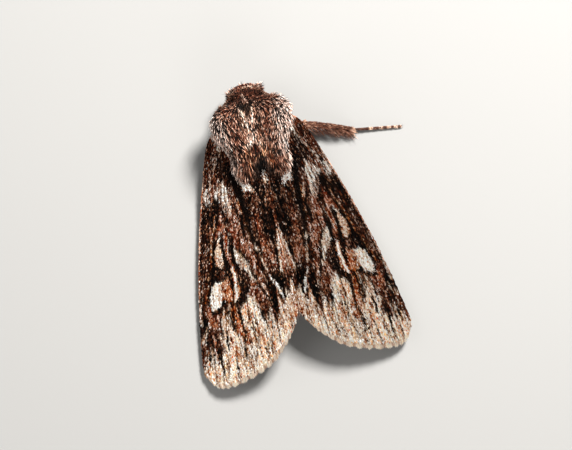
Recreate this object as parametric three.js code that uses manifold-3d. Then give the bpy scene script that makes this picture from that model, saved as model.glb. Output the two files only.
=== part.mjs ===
// A noctuid moth at rest, its forewings folded over its back like a low roof.
// Millimetres. +Y runs towards the head, +X to the moth's right, +Z up. The floor under belly and feet is
// z = 0, and the origin lies on the midline under the belly. Each solid of head, trunk, legs and feelers is
// the outer shape of its coat.

import * as THREE from 'three';
import { mergeVertices } from 'three/addons/utils/BufferGeometryUtils.js';
import Module from 'manifold-3d';

const wasm = await Module();
wasm.setup();

// ---- driving sizes ----

const GAP = 0.12; // free space between neighbouring pieces
const WELD = 1e-3; // vertices closer than this are one

const WING = {
  thickness: 0.5,
  baseY: 9.1, // where the front edge leaves the shoulder
  baseHalf: 5.2, // half the spread of the folded wings there
  spread: 0.38, // how fast the half spread grows backwards
  bow: 0.00564, // how much the front edge bows inwards
  ridgeY: 5.5,
  ridgeHeight: 6.4, // height of the roof's ridge at ridgeY
  ridgeFall: 0.126, // drop of the ridge for each millimetre backwards
  eaves: 0.85, // height of the front edge over most of its length
  eavesRise: 1.9, // how much higher it is at the shoulder
  eavesFrom: 1.0, // where it starts to rise
  eavesSwell: 1.6, // how much of that rise comes close to the shoulder
  arch: 1.35, // 1 would be a straight-sided roof; more makes the ridge rounder
  scallops: 8, // waves of the fringe along the outer margin
  scallopDepth: 0.1,
};

const TRUNK = { // thorax and collar together
  rear: 5.1,
  front: 13.45,
  rearHalf: 4.2,
  frontHalf: 4.85,
  waist: 0.85, // how much narrower it is behind the shoulders,
  waistAt: 0.37, // at this share of its length
  waistSpan: 0.2,
  middle: 4.7,
  halfHeight: 3.1,
  lean: 0.4, // how far the front draws back for each millimetre down,
  leanFrom: 5.6, // below this height
};
const COLLAR_LINE = 12.2; // the collar lies in front of this
const TEGULA = { inner: 1.75, under: 3.2 }; // shoulder lobes: outside and above these
const CREST = { from: [0, 5.5, 6.45], to: [0, 8.6, 7.1], half: 1.3, above: 0.95, below: 0.9 };

const ABDOMEN = { rear: -8.6, front: 5.4, half: 2.5, rearHalf: 1.7, top: 4.5, rearTop: 3.1, sink: 0.3 };
const TAIL_LINE = -6.3; // the tail tuft lies behind this

const HEAD = { y: 12.95, z: 3.3, halfWidth: 1.75, halfLength: 1.85, halfHeight: 2.0, fullness: 0.5 };
const EYE = { x: 1.22, y: 13.05, z: 2.75, radius: 0.8 };
const PALP = { from: [0.5, 13.75, 1.8], to: [0.62, 14.6, 1.15], half: 0.36 };
const MOUTH = { half: 1.15, behind: 13.3, under: 2.25 }; // room in the lower face for the palps
const ANTENNA = {
  half: 0.26,
  taper: 0.97, // share of its thickness left at the tip
  route: [
    [0.7, 14.2, 4.3],
    [1.5, 13.75, 3.85],
    [2.15, 13.0, 3.5],
    [3.3, 11.6, 2.95],
    [4.4, 9.3, 2.35],
    [4.7, 6.8, 2.0],
    [4.75, 4.4, 1.6],
  ],
};

// Hip, knee, ankle and toe of each leg, given as for the right side. The right middle leg is stretched out
// sideways, the others are folded under coat and wings.
const LEGS = {
  foreleg: [[0.75, 10.2, 1.15], [2.8, 11.5, 1.0], [2.65, 12.85, 0.42], [1.05, 14.2, 0.2]],
  midleg_out: [[0.95, 8.7, 1.15], [5.15, 9.4, 1.35], [9.7, 7.65, 0.42], [14.6, 6.8, 0.2]],
  midleg_in: [[0.95, 8.3, 1.15], [4.4, 7.5, 1.15], [5.6, 3.3, 0.42], [6.9, -1.2, 0.2]],
  hindleg: [[1.05, 6.7, 1.15], [3.9, 4.8, 1.1], [4.4, -1.3, 0.42], [5.6, -6.6, 0.2]],
};
const LEG_PARTS = ['femur', 'tibia', 'tarsus'];
const LEG_HALVES = [0.5, 0.4, 0.27]; // half thickness of each part with its hair
const LEG_TAPERS = [0.95, 0.75, 0.95]; // share of that thickness left at the far end
const FRINGED_HALF = 0.85; // half width of the stretched shin at the knee, with its trailing hair fringe

const COLOURS = {
  wing: '#5b4338',
  underwing: '#a8968a',
  coat: '#8d7468',
  crest: '#7c4f3b',
  dark: '#3a241d',
  abdomen: '#8a7a6e',
  eye: '#0d0807',
  leg: '#5a3a2b',
  feeler: '#6a4a38',
};

const moth = new THREE.Group();

// ---- shape tools ----

function merged(geometry) {
  geometry.deleteAttribute('normal');
  geometry.deleteAttribute('uv');
  return mergeVertices(geometry, WELD);
}

// A closed mesh as a solid that can be joined and cut.
function solidOf(geometry) {
  const closed = merged(geometry.clone());
  return new wasm.Manifold(new wasm.Mesh({
    numProp: 3,
    vertProperties: new Float32Array(closed.attributes.position.array),
    triVerts: new Uint32Array(closed.index.array),
  }));
}

// A solid less each of the given meshes.
function cut(solid, ...meshes) {
  return meshes.reduce((rest, mesh) => rest.subtract(solidOf(mesh)), solid);
}

function geometryOf(solid) {
  const mesh = solid.getMesh();
  const geometry = new THREE.BufferGeometry();
  geometry.setAttribute('position', new THREE.BufferAttribute(mesh.vertProperties, 3));
  geometry.setIndex(new THREE.BufferAttribute(mesh.triVerts, 1));
  return mergeVertices(geometry, WELD);
}

// The same shape on the other side of the midline.
function mirrored(geometry) {
  const copy = merged(geometry.clone().scale(-1, 1, 1));
  const corners = copy.index.array;
  for (let i = 0; i < corners.length; i += 3) {
    const first = corners[i];
    corners[i] = corners[i + 1];
    corners[i + 1] = first;
  }
  return copy;
}

const bothSides = (geometry) => [geometry, mirrored(geometry)];

function add(name, geometry, colour, roughness = 0.95) {
  const material = new THREE.MeshStandardMaterial({ color: colour, roughness, metalness: 0 });
  const mesh = new THREE.Mesh(geometry, material);
  mesh.name = name;
  moth.add(mesh);
}

function addPair(name, geometry, colour, roughness) {
  add(`${name}_right`, geometry, colour, roughness);
  add(`${name}_left`, mirrored(geometry), colour, roughness);
}

const point = (at) => new THREE.Vector3(...at);
const mix = THREE.MathUtils.lerp;

// A rounded body along a path. section(t) gives its half width, its height above the path and its depth
// below it; a fullness under 1 makes the ends blunter, and shape(place, t) may bend the result. Nothing goes
// below the floor.
function loft({ path, section, around, along, fullness = 0.6, shape = () => {} }) {
  const geometry = new THREE.SphereGeometry(1, around, along);
  const position = geometry.attributes.position;
  const unit = new THREE.Vector3();
  const vertical = new THREE.Vector3(0, 0, 1);
  for (let i = 0; i < position.count; i++) {
    unit.fromBufferAttribute(position, i);
    const t = (1 - unit.y) / 2;
    const ring = Math.hypot(unit.x, unit.z);
    const swell = ring > 1e-6 ? ring ** (fullness - 1) : 0;
    const { half, above, below } = section(t);
    const tangent = path.getTangent(t);
    const side = tangent.clone().cross(vertical).normalize();
    const up = side.clone().cross(tangent);
    const rise = unit.z * swell * (unit.z > 0 ? above : below);
    const place = path.getPoint(t);
    place.addScaledVector(side, -unit.x * swell * half);
    place.addScaledVector(up, rise);
    shape(place, t);
    position.setXYZ(i, place.x, place.y, Math.max(place.z, 0));
  }
  return geometry;
}

function block(low, high) {
  const size = high.map((value, axis) => value - low[axis]);
  const geometry = new THREE.BoxGeometry(...size);
  return geometry.translate(...high.map((value, axis) => (value + low[axis]) / 2));
}

// ---- wings ----

// Half the spread of the folded wings at a place along the body.
function halfSpread(y) {
  const back = WING.baseY - y;
  return WING.baseHalf + WING.spread * back - WING.bow * back * back;
}

// Height of the roof that the folded forewings make.
function roofHeight(x, y) {
  const ridge = WING.ridgeHeight - WING.ridgeFall * (WING.ridgeY - y);
  const rise = Math.max(0, (y - WING.eavesFrom) / (WING.baseY - WING.eavesFrom));
  const eaves = WING.eaves + WING.eavesRise * rise ** WING.eavesSwell;
  const out = Math.abs(x) / halfSpread(y);
  return eaves + (ridge - eaves) * (1 - out ** WING.arch);
}

function roofNormal(x, y) {
  const step = 0.05;
  const slopeX = (roofHeight(x + step, y) - roofHeight(x - step, y)) / (2 * step);
  const slopeY = (roofHeight(x, y + step) - roofHeight(x, y - step)) / (2 * step);
  return new THREE.Vector3(-slopeX, -slopeY, 1).normalize();
}

const curve2 = (...points) => new THREE.SplineCurve(points.map((at) => new THREE.Vector2(...at)));

// Front edge of the forewing: it leaves the shoulder at the root, follows the spread and then rounds the tip.
function frontEdge(root, from, to, tip) {
  const steps = 5;
  const points = [root];
  for (let step = 0; step <= steps; step++) {
    const y = mix(from, to, step / steps);
    points.push([halfSpread(y), y]);
  }
  return curve2(...points, tip);
}

const INNER = GAP / 2; // the two wings leave a seam on the midline
const ROOT = [4.45, 10.0]; // where the forewing's front edge starts
const TIP = [10.45, -13.3];
const NOTCH = [0.75, -9.9]; // corner where the outer margin meets the inner one

const FOREWING_EDGES = {
  front: frontEdge(ROOT, 8.8, -12.0, TIP),
  outer: curve2(TIP, [9.75, -14.15], [8.4, -14.4], [6.0, -13.9], [3.7, -12.85], [1.9, -11.2], NOTCH),
  inner: curve2([INNER, 6.6], [INNER, -8.0], [0.35, -9.0], NOTCH),
  base: curve2(ROOT, [INNER, 6.6]),
};

const HINDWING_EDGES = {
  front: curve2([3.4, 6.4], [5.1, 2.6], [6.6, -3.0], [7.5, -9.3]),
  outer: curve2([7.5, -9.3], [6.9, -11.2], [4.6, -12.2], [2.6, -11.1], [0.7, -9.2]),
  inner: curve2([INNER, 5.6], [INNER, -8.0], [0.7, -9.2]),
  base: curve2([3.4, 6.4], [INNER, 5.6]),
};

// A point of the wing's plan: along 0 is the base and 1 the outer margin, across 0 the front edge and 1 the
// inner margin. The four edges are blended so that the plan meets each of them.
function planPoint(edges, along, across) {
  const front = edges.front.getPointAt(along);
  const inner = edges.inner.getPointAt(along);
  const base = edges.base.getPointAt(across);
  const outer = edges.outer.getPointAt(across);
  const blend = (axis) => {
    const ruled = mix(front[axis], inner[axis], across) + mix(base[axis], outer[axis], along);
    const nearBase = mix(edges.base.getPointAt(0)[axis], edges.base.getPointAt(1)[axis], across);
    const nearTip = mix(edges.outer.getPointAt(0)[axis], edges.outer.getPointAt(1)[axis], across);
    return ruled - mix(nearBase, nearTip, along);
  };
  return new THREE.Vector2(blend('x'), blend('y'));
}

// A wing as a plate that lies `depth` under the roof's surface.
function wingPlate(edges, depth, cellsAcross, cellsAlong, wave) {
  const geometry = new THREE.BoxGeometry(1, 1, 1, cellsAcross, cellsAlong, 1);
  const position = geometry.attributes.position;
  for (let i = 0; i < position.count; i++) {
    const across = 0.5 - position.getX(i);
    const along = 0.5 - position.getY(i);
    const plan = planPoint(edges, along, across);
    if (along > 0.999) {
      plan.y -= wave * Math.cos(2 * Math.PI * WING.scallops * across);
    }
    const down = depth + WING.thickness * (0.5 - position.getZ(i));
    const place = new THREE.Vector3(plan.x, plan.y, roofHeight(plan.x, plan.y));
    place.addScaledVector(roofNormal(plan.x, plan.y), -down);
    position.setXYZ(i, Math.max(place.x, INNER), place.y, place.z);
  }
  return geometry;
}

// ---- head ----

function headShape(grow) {
  const path = new THREE.LineCurve3(
    point([0, HEAD.y - HEAD.halfLength - grow, HEAD.z]),
    point([0, HEAD.y + HEAD.halfLength + grow, HEAD.z]),
  );
  const high = HEAD.halfHeight + grow;
  const section = () => ({ half: HEAD.halfWidth + grow, above: high, below: high });
  return loft({ path, section, around: 18, along: 11, fullness: HEAD.fullness });
}

function eyeShape(grow) {
  return new THREE.SphereGeometry(EYE.radius + grow, 12, 9).translate(EYE.x, EYE.y, EYE.z);
}

function antennaShape(grow) {
  const half = ANTENNA.half + grow;
  const path = new THREE.CatmullRomCurve3(ANTENNA.route.map(point));
  const section = (t) => {
    const girth = half * mix(1, ANTENNA.taper, t);
    return { half: girth, above: girth, below: girth };
  };
  return loft({ path, section, around: 6, along: 16, fullness: 0.25 });
}

function palpShape() {
  const path = new THREE.LineCurve3(point(PALP.from), point(PALP.to));
  const section = () => ({ half: PALP.half, above: PALP.half, below: PALP.half });
  return loft({ path, section, around: 8, along: 6 });
}

function buildHead() {
  const head = cut(
    solidOf(headShape(0)),
    ...bothSides(eyeShape(GAP / 2)),
    ...bothSides(antennaShape(GAP / 2)),
    block([-MOUTH.half, MOUTH.behind, 0], [MOUTH.half, HEAD.y + HEAD.halfLength + 1, MOUTH.under]),
  );
  add('head', geometryOf(head), COLOURS.dark);
  addPair('eye', eyeShape(0), COLOURS.eye, 0.1);
  addPair('palp', palpShape(), COLOURS.dark);
  addPair('antenna', antennaShape(0), COLOURS.feeler);
}

// ---- trunk ----

function trunkShape(grow) {
  const path = new THREE.LineCurve3(
    point([0, TRUNK.rear - grow, TRUNK.middle]),
    point([0, TRUNK.front + grow, TRUNK.middle]),
  );
  const high = TRUNK.halfHeight + grow;
  const section = (t) => {
    const waist = TRUNK.waist * Math.exp(-(((t - TRUNK.waistAt) / TRUNK.waistSpan) ** 2));
    return { half: mix(TRUNK.rearHalf, TRUNK.frontHalf, t) - waist + grow, above: high, below: high };
  };
  const shape = (place, t) => {
    place.y -= TRUNK.lean * Math.max(0, TRUNK.leanFrom - place.z) * t * t;
  };
  return loft({ path, section, around: 24, along: 16, shape });
}

function crestShape(grow) {
  const path = new THREE.LineCurve3(point(CREST.from), point(CREST.to));
  const section = () => ({ half: CREST.half + grow, above: CREST.above + grow, below: CREST.below + grow });
  return loft({ path, section, around: 14, along: 8, fullness: 0.7 });
}

function abdomenShape(grow) {
  const path = new THREE.LineCurve3(
    point([0, ABDOMEN.rear - grow, ABDOMEN.rearTop / 2]),
    point([0, ABDOMEN.front + grow, ABDOMEN.top / 2]),
  );
  const section = (t) => {
    const high = mix(ABDOMEN.rearTop, ABDOMEN.top, t) / 2 + grow;
    return { half: mix(ABDOMEN.rearHalf, ABDOMEN.half, t) + grow, above: high, below: high + ABDOMEN.sink };
  };
  return loft({ path, section, around: 20, along: 16, fullness: 0.5 });
}

function buildTrunk() {
  const far = 20;
  const slit = GAP / 2;
  const whole = cut(
    solidOf(trunkShape(0)),
    headShape(GAP),
    abdomenShape(GAP),
    ...bothSides(eyeShape(GAP)),
    ...bothSides(antennaShape(GAP)),
    crestShape(GAP),
  );

  // Rooms for the pieces that the trunk is parted into; `ease` widens a room on the sides where it is cut.
  const collarRoom = (ease) => block([-far, COLLAR_LINE - ease, -far], [far, far, far]);
  const tegulaRoom = (ease) => block(
    [TEGULA.inner - ease, -far, TEGULA.under - ease],
    [far, COLLAR_LINE - slit + 2 * ease, far],
  );
  const tegula = whole.intersect(solidOf(tegulaRoom(-slit)));
  const thorax = cut(whole, collarRoom(slit), ...bothSides(tegulaRoom(slit)));
  add('thorax', geometryOf(thorax), COLOURS.coat);
  add('collar', geometryOf(whole.intersect(solidOf(collarRoom(-slit)))), COLOURS.dark);
  add('crest', crestShape(0), COLOURS.crest);
  addPair('tegula', geometryOf(tegula), COLOURS.coat);

  const abdomen = solidOf(abdomenShape(0));
  const tailRoom = (ease) => block([-far, -far, -far], [far, TAIL_LINE + ease, far]);
  add('abdomen', geometryOf(cut(abdomen, tailRoom(slit))), COLOURS.abdomen);
  add('tail_tuft', geometryOf(abdomen.intersect(solidOf(tailRoom(-slit)))), COLOURS.abdomen);
}

function buildWings() {
  const grownTrunk = trunkShape(GAP);
  const under = WING.thickness + GAP;
  const forewing = solidOf(wingPlate(FOREWING_EDGES, 0, 16, 14, WING.scallopDepth));
  const hindwing = solidOf(wingPlate(HINDWING_EDGES, under, 8, 10, 0));
  addPair('forewing', geometryOf(cut(forewing, grownTrunk)), COLOURS.wing);
  addPair('hindwing', geometryOf(cut(hindwing, grownTrunk)), COLOURS.underwing);
}

// ---- legs ----

function legPart(joints, index, fringed) {
  const from = point(joints[index]);
  const to = point(joints[index + 1]);
  const step = to.clone().sub(from).normalize().multiplyScalar(GAP / 2);
  const path = new THREE.LineCurve3(from.add(step), to.sub(step));
  const half = LEG_HALVES[index];
  const section = (t) => {
    const girth = half * mix(1, LEG_TAPERS[index], t);
    return { half: fringed ? mix(FRINGED_HALF, girth, t) : girth, above: girth, below: girth };
  };
  return loft({ path, section, around: 8, along: 6, fullness: 0.2 });
}

function buildLeg(name, joints, side, fringed) {
  LEG_PARTS.forEach((part, index) => {
    const shape = legPart(joints, index, fringed && part === 'tibia');
    add(`${name}_${part}`, side > 0 ? shape : mirrored(shape), COLOURS.leg);
  });
}

function buildLegs() {
  for (const [word, side] of [['right', 1], ['left', -1]]) {
    buildLeg(`foreleg_${word}`, LEGS.foreleg, side, false);
    buildLeg(`midleg_${word}`, side > 0 ? LEGS.midleg_out : LEGS.midleg_in, side, side > 0);
    buildLeg(`hindleg_${word}`, LEGS.hindleg, side, false);
  }
}

buildHead();
buildTrunk();
buildWings();
buildLegs();

export default moth;
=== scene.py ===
"""A sprawler moth at rest: roofed wings, furred thorax, feelers laid back and one middle leg put out."""

import math
from contextlib import contextmanager
from types import SimpleNamespace

import bpy
import numpy as np
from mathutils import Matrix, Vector


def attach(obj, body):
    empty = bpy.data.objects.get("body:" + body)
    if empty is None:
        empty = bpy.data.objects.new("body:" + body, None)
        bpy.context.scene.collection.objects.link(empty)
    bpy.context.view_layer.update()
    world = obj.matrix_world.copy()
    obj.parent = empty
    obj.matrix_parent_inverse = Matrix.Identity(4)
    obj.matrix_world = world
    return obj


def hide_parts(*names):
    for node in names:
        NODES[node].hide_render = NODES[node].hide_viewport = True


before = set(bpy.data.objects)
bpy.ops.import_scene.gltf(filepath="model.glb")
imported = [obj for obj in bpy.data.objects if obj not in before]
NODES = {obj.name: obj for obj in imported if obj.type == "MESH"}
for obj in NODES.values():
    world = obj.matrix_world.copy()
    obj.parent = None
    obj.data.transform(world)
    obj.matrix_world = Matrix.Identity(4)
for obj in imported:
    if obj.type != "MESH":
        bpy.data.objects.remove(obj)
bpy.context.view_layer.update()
MM = 0.001
BODY = "root"
SIDES = (("left", -1), ("right", 1))
chance = np.random.default_rng(11)

# ---------------------------------------------------------------- tools for pieces and materials


def select_only(*pieces):
    """Selects these pieces and makes the first one active."""
    bpy.ops.object.select_all(action="DESELECT")
    for piece in pieces:
        piece.select_set(True)
    if pieces:
        bpy.context.view_layer.objects.active = pieces[0]


@contextmanager
def editing(select="SELECT"):
    """The active piece in edit mode, with all or nothing of its mesh selected."""
    bpy.ops.object.mode_set(mode="EDIT")
    bpy.ops.mesh.select_all(action=select)
    yield
    bpy.ops.object.mode_set(mode="OBJECT")


def apply_modifier(piece, kind, **settings):
    """Adds a modifier to the active piece and makes its result part of the mesh."""
    modifier = piece.modifiers.new(kind.lower(), kind)
    for setting, value in settings.items():
        setattr(modifier, setting, value)
    bpy.ops.object.modifier_apply(modifier=modifier.name)


def joined(pieces, name):
    """Several loose pieces as one."""
    select_only(*pieces)
    bpy.ops.object.join()
    pieces[0].name = name
    return pieces[0]


def new_material(name, values):
    """A material whose shader has these values, with its nodes, its links and the shader."""
    paint = bpy.data.materials.new(name)
    paint.use_nodes = True
    nodes, links = paint.node_tree.nodes, paint.node_tree.links
    shader = nodes["Principled BSDF"]
    for socket, value in values.items():
        shader.inputs[socket].default_value = value
    return paint, nodes, links, shader


def arithmetic(group, operation, *values, clamp=False):
    """A node that works out one value from two, each of them a socket or a number."""
    node = group.nodes.new("ShaderNodeMath")
    node.operation = operation
    node.use_clamp = clamp
    for socket, value in zip(node.inputs, values):
        if isinstance(value, (int, float)):
            socket.default_value = value
        else:
            group.links.new(value, socket)
    return node.outputs[0]


# ---------------------------------------------------------------- camera, floor and light

# millimetres, and degrees for the turn; field: width of what is seen at the height of the subject
CAMERA = {"x": 0.855, "y": -0.09, "above": 304.0, "subject": 4.0, "field": 57.2, "turn": 14.0, "sensor": 36.0}


def add_camera():
    """Looks straight down on the moth, turned so that its head points up and to the left."""
    bpy.ops.object.camera_add(
        location=(CAMERA["x"] * MM, CAMERA["y"] * MM, CAMERA["above"] * MM),
        rotation=(0, 0, math.radians(-CAMERA["turn"])),
    )
    camera = bpy.context.object
    distance = CAMERA["above"] - CAMERA["subject"]
    camera.data.sensor_width = CAMERA["sensor"]
    camera.data.lens = CAMERA["sensor"] * distance / CAMERA["field"]
    camera.data.clip_start = 0.01
    camera.data.clip_end = 5
    bpy.context.scene.camera = camera


LAMP_AIM = (0, 0, 0.003)


def add_light(name, place, size, power, colour):
    """One soft square lamp that points at the moth."""
    at = Vector(place) * MM
    bpy.ops.object.light_add(type="AREA", location=at)
    lamp = bpy.context.object
    lamp.name = name
    lamp.rotation_euler = (Vector(LAMP_AIM) - at).to_track_quat("-Z", "Y").to_euler()
    lamp.data.size = size * MM
    lamp.data.energy = power
    lamp.data.color = colour


FLOOR_LOOK = {"Base Color": (0.19, 0.189, 0.185, 1), "Roughness": 0.85}


def add_floor():
    """A plain pale sheet that the moth stands on."""
    bpy.ops.mesh.primitive_plane_add(size=1.6, location=(0, 0, 0))
    floor = bpy.context.object
    floor.name = "floor"
    floor.data.materials.append(new_material("pale_floor", FLOOR_LOOK)[0])


add_camera()
add_floor()
add_light("key", (110, 120, 190), 60, 2.8, (1.0, 0.98, 0.95))
add_light("fill", (-210, 20, 130), 200, 0.45, (1.0, 0.99, 0.97))
add_light("rear", (20, -220, 110), 180, 0.4, (1.0, 0.98, 0.95))
world = bpy.context.scene.world or bpy.data.worlds.new("studio")
bpy.context.scene.world = world
world.use_nodes = True
sky = world.node_tree.nodes["Background"]
sky.inputs["Color"].default_value = (1.0, 0.985, 0.96, 1)
sky.inputs["Strength"].default_value = 0.24
bpy.context.scene.view_settings.view_transform = "Standard"

# ---------------------------------------------------------------- numbers, colours and noise


def rgb(code):
    """The display colour that a code of six hex digits stands for."""
    return np.array([int(code[i : i + 2], 16) for i in (1, 3, 5)]) / 255.0


def linear(colour):
    """The light value of a display colour."""
    colour = np.clip(colour, 0, 1)
    return np.where(colour < 0.04045, colour / 12.92, ((colour + 0.055) / 1.055) ** 2.4)


def mix(a, b, share):
    """Colour a where share is 0, colour b where it is 1."""
    share = np.asarray(share)[..., None]
    return a * (1 - share) + b * share


def ease(low, high, value):
    """Rises smoothly from 0 at low to 1 at high; low may be the greater of the two."""
    t = np.clip((value - low) / (high - low), 0, 1)
    return t * t * (3 - 2 * t)


def lattice(ix, iy, seed):
    """A fixed value between 0 and 1 for each pair of whole numbers."""
    n = (ix * 374761393 + iy * 668265263 + seed * 2147483647) & 0xFFFFFFFF
    n = ((n ^ (n >> 13)) * 1274126177) & 0xFFFFFFFF
    n = (n ^ (n >> 16)) & 0xFFFFFFFF
    return n / 4294967295.0


def noise(x, y, seed):
    """Smooth noise between 0 and 1."""
    x, y = np.asarray(x, float), np.asarray(y, float)
    ix, iy = np.floor(x).astype(np.int64), np.floor(y).astype(np.int64)
    fx, fy = x - ix, y - iy
    fx, fy = fx * fx * (3 - 2 * fx), fy * fy * (3 - 2 * fy)
    low = lattice(ix, iy, seed) * (1 - fx) + lattice(ix + 1, iy, seed) * fx
    high = lattice(ix, iy + 1, seed) * (1 - fx) + lattice(ix + 1, iy + 1, seed) * fx
    return low * (1 - fy) + high * fy


def swing(x, y, seed):
    """Smooth noise between -0.5 and 0.5."""
    return noise(x, y, seed) - 0.5


def unit(vectors):
    """The same directions, each of length 1."""
    return vectors / np.maximum(np.linalg.norm(vectors, axis=-1, keepdims=True), 1e-9)


def curve(points, count):
    """count + 1 places along a smooth line through the points."""
    p = np.array(points, float)
    p = np.vstack([2 * p[0] - p[1], p, 2 * p[-1] - p[-2]])
    spans = len(p) - 3
    where = np.linspace(0, spans, count + 1)
    i = np.minimum(where.astype(int), spans - 1)
    t = (where - i)[:, None]
    a, b, c, d = p[i], p[i + 1], p[i + 2], p[i + 3]
    return 0.5 * (2 * b + (c - a) * t + (2 * a - 5 * b + 4 * c - d) * t**2 + (3 * b - a - 3 * c + d) * t**3)


def inside(x, y, outline):
    """Whether each place lies within a closed outline."""
    within = np.zeros(np.shape(x), bool)
    for (x0, y0), (x1, y1) in zip(outline, np.roll(outline, -1, axis=0)):
        if y0 != y1:
            crosses = (y0 > y) != (y1 > y)
            within ^= crosses & (x < x0 + (y - y0) * (x1 - x0) / (y1 - y0))
    return within


# ---------------------------------------------------------------- wing shapes
# Plans are in millimetres: out from the midline, and y forwards.

SPREAD = {"base_y": 9.1, "half": 5.2, "rate": 0.38, "bow": 0.00564}
ROOF = {
    "ridge_y": 5.5, "ridge": 6.4, "fall": 0.126, "arch": 1.35,
    "eaves": 0.85, "rise": 1.9, "rise_from": 1.0, "swell": 1.6,
}
MIDLINE = 0.06
SHOULDER_Y = 9.5
VEINS = 15


def half_spread(y):
    """How far out the front edge of the folded forewing is."""
    b = SPREAD["base_y"] - y
    return SPREAD["half"] + SPREAD["rate"] * b - SPREAD["bow"] * b * b


def roof_height(out, y):
    """Height of the roof that the forewings make."""
    share = np.minimum(np.abs(out) / half_spread(y), 1.05)
    ridge = ROOF["ridge"] - ROOF["fall"] * (ROOF["ridge_y"] - y)
    risen = np.maximum(0, (y - ROOF["rise_from"]) / (SPREAD["base_y"] - ROOF["rise_from"]))
    eaves = ROOF["eaves"] + ROOF["rise"] * risen ** ROOF["swell"]
    return eaves + (ridge - eaves) * (1 - share ** ROOF["arch"])


FOREWING = {
    "front": [
        (3.9, 10.7), (4.75, 9.9),
        *((half_spread(y), y) for y in (8.8, 7.0, 5.0, 2.0, -1.5, -5.0, -8.5, -12.0)), (10.45, -13.3),
    ],
    "outer": [
        (0.75, -9.9), (1.9, -11.2), (3.7, -12.85), (6.0, -13.9), (8.4, -14.4), (9.75, -14.15), (10.45, -13.3),
    ],
    "inner": [(MIDLINE, 6.6), (MIDLINE, 2.0), (MIDLINE, -3.0), (MIDLINE, -8.0), (0.35, -9.0), (0.75, -9.9)],
    "base": [(MIDLINE, 6.6), (3.9, 10.7)],
}
HINDWING = {
    "front": [(3.4, 6.4), (5.1, 2.6), (6.6, -3.0), (7.5, -9.3)],
    "outer": [(0.7, -9.2), (2.6, -11.1), (4.6, -12.2), (6.9, -11.2), (7.5, -9.3)],
    "inner": [(MIDLINE, 5.6), (MIDLINE, -1.0), (MIDLINE, -8.0), (0.7, -9.2)],
    "base": [(MIDLINE, 5.6), (3.4, 6.4)],
}


def plan_places(edges, across, along):
    """Plan places of a wing. across: inner to front edge, along: base to outer edge, both 0 to 1."""
    fine = 200
    at = {name: curve(points, fine) for name, points in edges.items()}

    def read(name, t):
        where = np.clip(t, 0, 1) * fine
        i = np.minimum(where.astype(int), fine - 1)
        part = (where - i)[..., None]
        return at[name][i] * (1 - part) + at[name][i + 1] * part

    a, b = across[..., None], along[..., None]
    sides = (1 - a) * read("inner", along) + a * read("front", along)
    ends = (1 - b) * read("base", across) + b * read("outer", across)
    low = (1 - a) * at["base"][0] + a * at["base"][-1]
    high = (1 - a) * at["outer"][0] + a * at["outer"][-1]
    return sides + ends - (1 - b) * low - b * high


def plan_outline(edges, inset):
    """The wing's outline, with its outer edge drawn in by inset."""
    t = np.linspace(0, 1, 41)
    end = 1 - inset
    rounds = [(0 * t, t * end), (t, 0 * t + end), (0 * t + 1, t[::-1] * end)]
    return np.vstack([plan_places(edges, across, along) for across, along in rounds])


def vein_share(out, y):
    """Where a place lies between two veins: 0 on a vein, 1 midway."""
    share = out / half_spread(y)
    back = SHOULDER_Y - y
    phase = share * VEINS + 0.25 * noise(share * 5, back * 0.4, 11)
    return 1 - np.abs((phase % 1) * 2 - 1)


def wing_surface(out, y, depth):
    """Height of a layer that lies depth below the roof, with its veins standing a little proud."""
    back = SHOULDER_Y - y
    pleat = 0.07 * ease(3, 12, back) * (1 - vein_share(out, y)) ** 2
    swell = 0.05 * (noise(out * 0.9, back * 0.35, 21) - 0.5)
    return roof_height(out, y) - depth + pleat + swell


def surface_frame(side, out, y, depth):
    """Places on a wing layer and its upward normals, for one side."""
    step = 0.05
    z = wing_surface(out, y, depth)
    slope_out = (wing_surface(out + step, y, depth) - wing_surface(out - step, y, depth)) / (2 * step)
    slope_y = (wing_surface(out, y + step, depth) - wing_surface(out, y - step, depth)) / (2 * step)
    places = np.stack([side * out, y, z], axis=-1)
    normals = unit(np.stack([-side * slope_out, -slope_y, np.ones_like(z)], axis=-1))
    return places, normals


# ---------------------------------------------------------------- forewing pattern
# back = millimetres behind the shoulder line, out = millimetres from the midline.


def nearest_on(back, out, start, end):
    """How far each place is from the line between two points, and where on it the nearest point is."""
    db, do = end[0] - start[0], end[1] - start[1]
    t = np.clip(((back - start[0]) * db + (out - start[1]) * do) / (db * db + do * do), 0, 1)
    return np.hypot(back - start[0] - t * db, out - start[1] - t * do), t


def stroke(back, out, points, soft):
    """How much of a tapered stroke covers each place. points: (back, out, half width)."""
    gap = np.full(np.shape(back), 99.0)
    for start, end in zip(points, points[1:]):
        away, t = nearest_on(back, out, start, end)
        gap = np.minimum(gap, away - (start[2] + t * (end[2] - start[2])))
    return 1 - ease(-soft, soft, gap)


def stroked(colour, back, out, rows, ragged=1.0):
    """Lays strokes over a colour, one after the other. rows: (colour, softness, strength, points)."""
    for shade, soft, strength, points in rows:
        colour = mix(colour, shade, strength * stroke(back, out, points, soft) * ragged)
    return colour


def blot(back, out, corners, soft, grow=0.0):
    """How much of a flat mark with these corners covers each place."""
    rim = np.full(np.shape(back), 99.0)
    for start, end in zip(corners, corners[1:] + corners[:1]):
        rim = np.minimum(rim, nearest_on(back, out, start, end)[0])
    within = inside(out, back, np.array([(o, b) for b, o in corners]))
    return 1 - ease(-soft, soft, np.where(within, -rim, rim) - grow)


DEEPEST = 0.004  # the darkest value of a scale before its grain

JET = rgb("#060302")
SOOT = rgb("#2a1812")
UMBER = rgb("#472d23")
BROWN = rgb("#6b4737")
FAWN = rgb("#9a7360")
TAN = rgb("#b8937b")
SAND = rgb("#cdb09b")
CREAM = rgb("#ecdccb")
WHITE = rgb("#fffaf2")
RUST = rgb("#a2683f")
CHESTNUT = rgb("#7c4a30")
PEAT = rgb("#2c130b")

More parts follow.
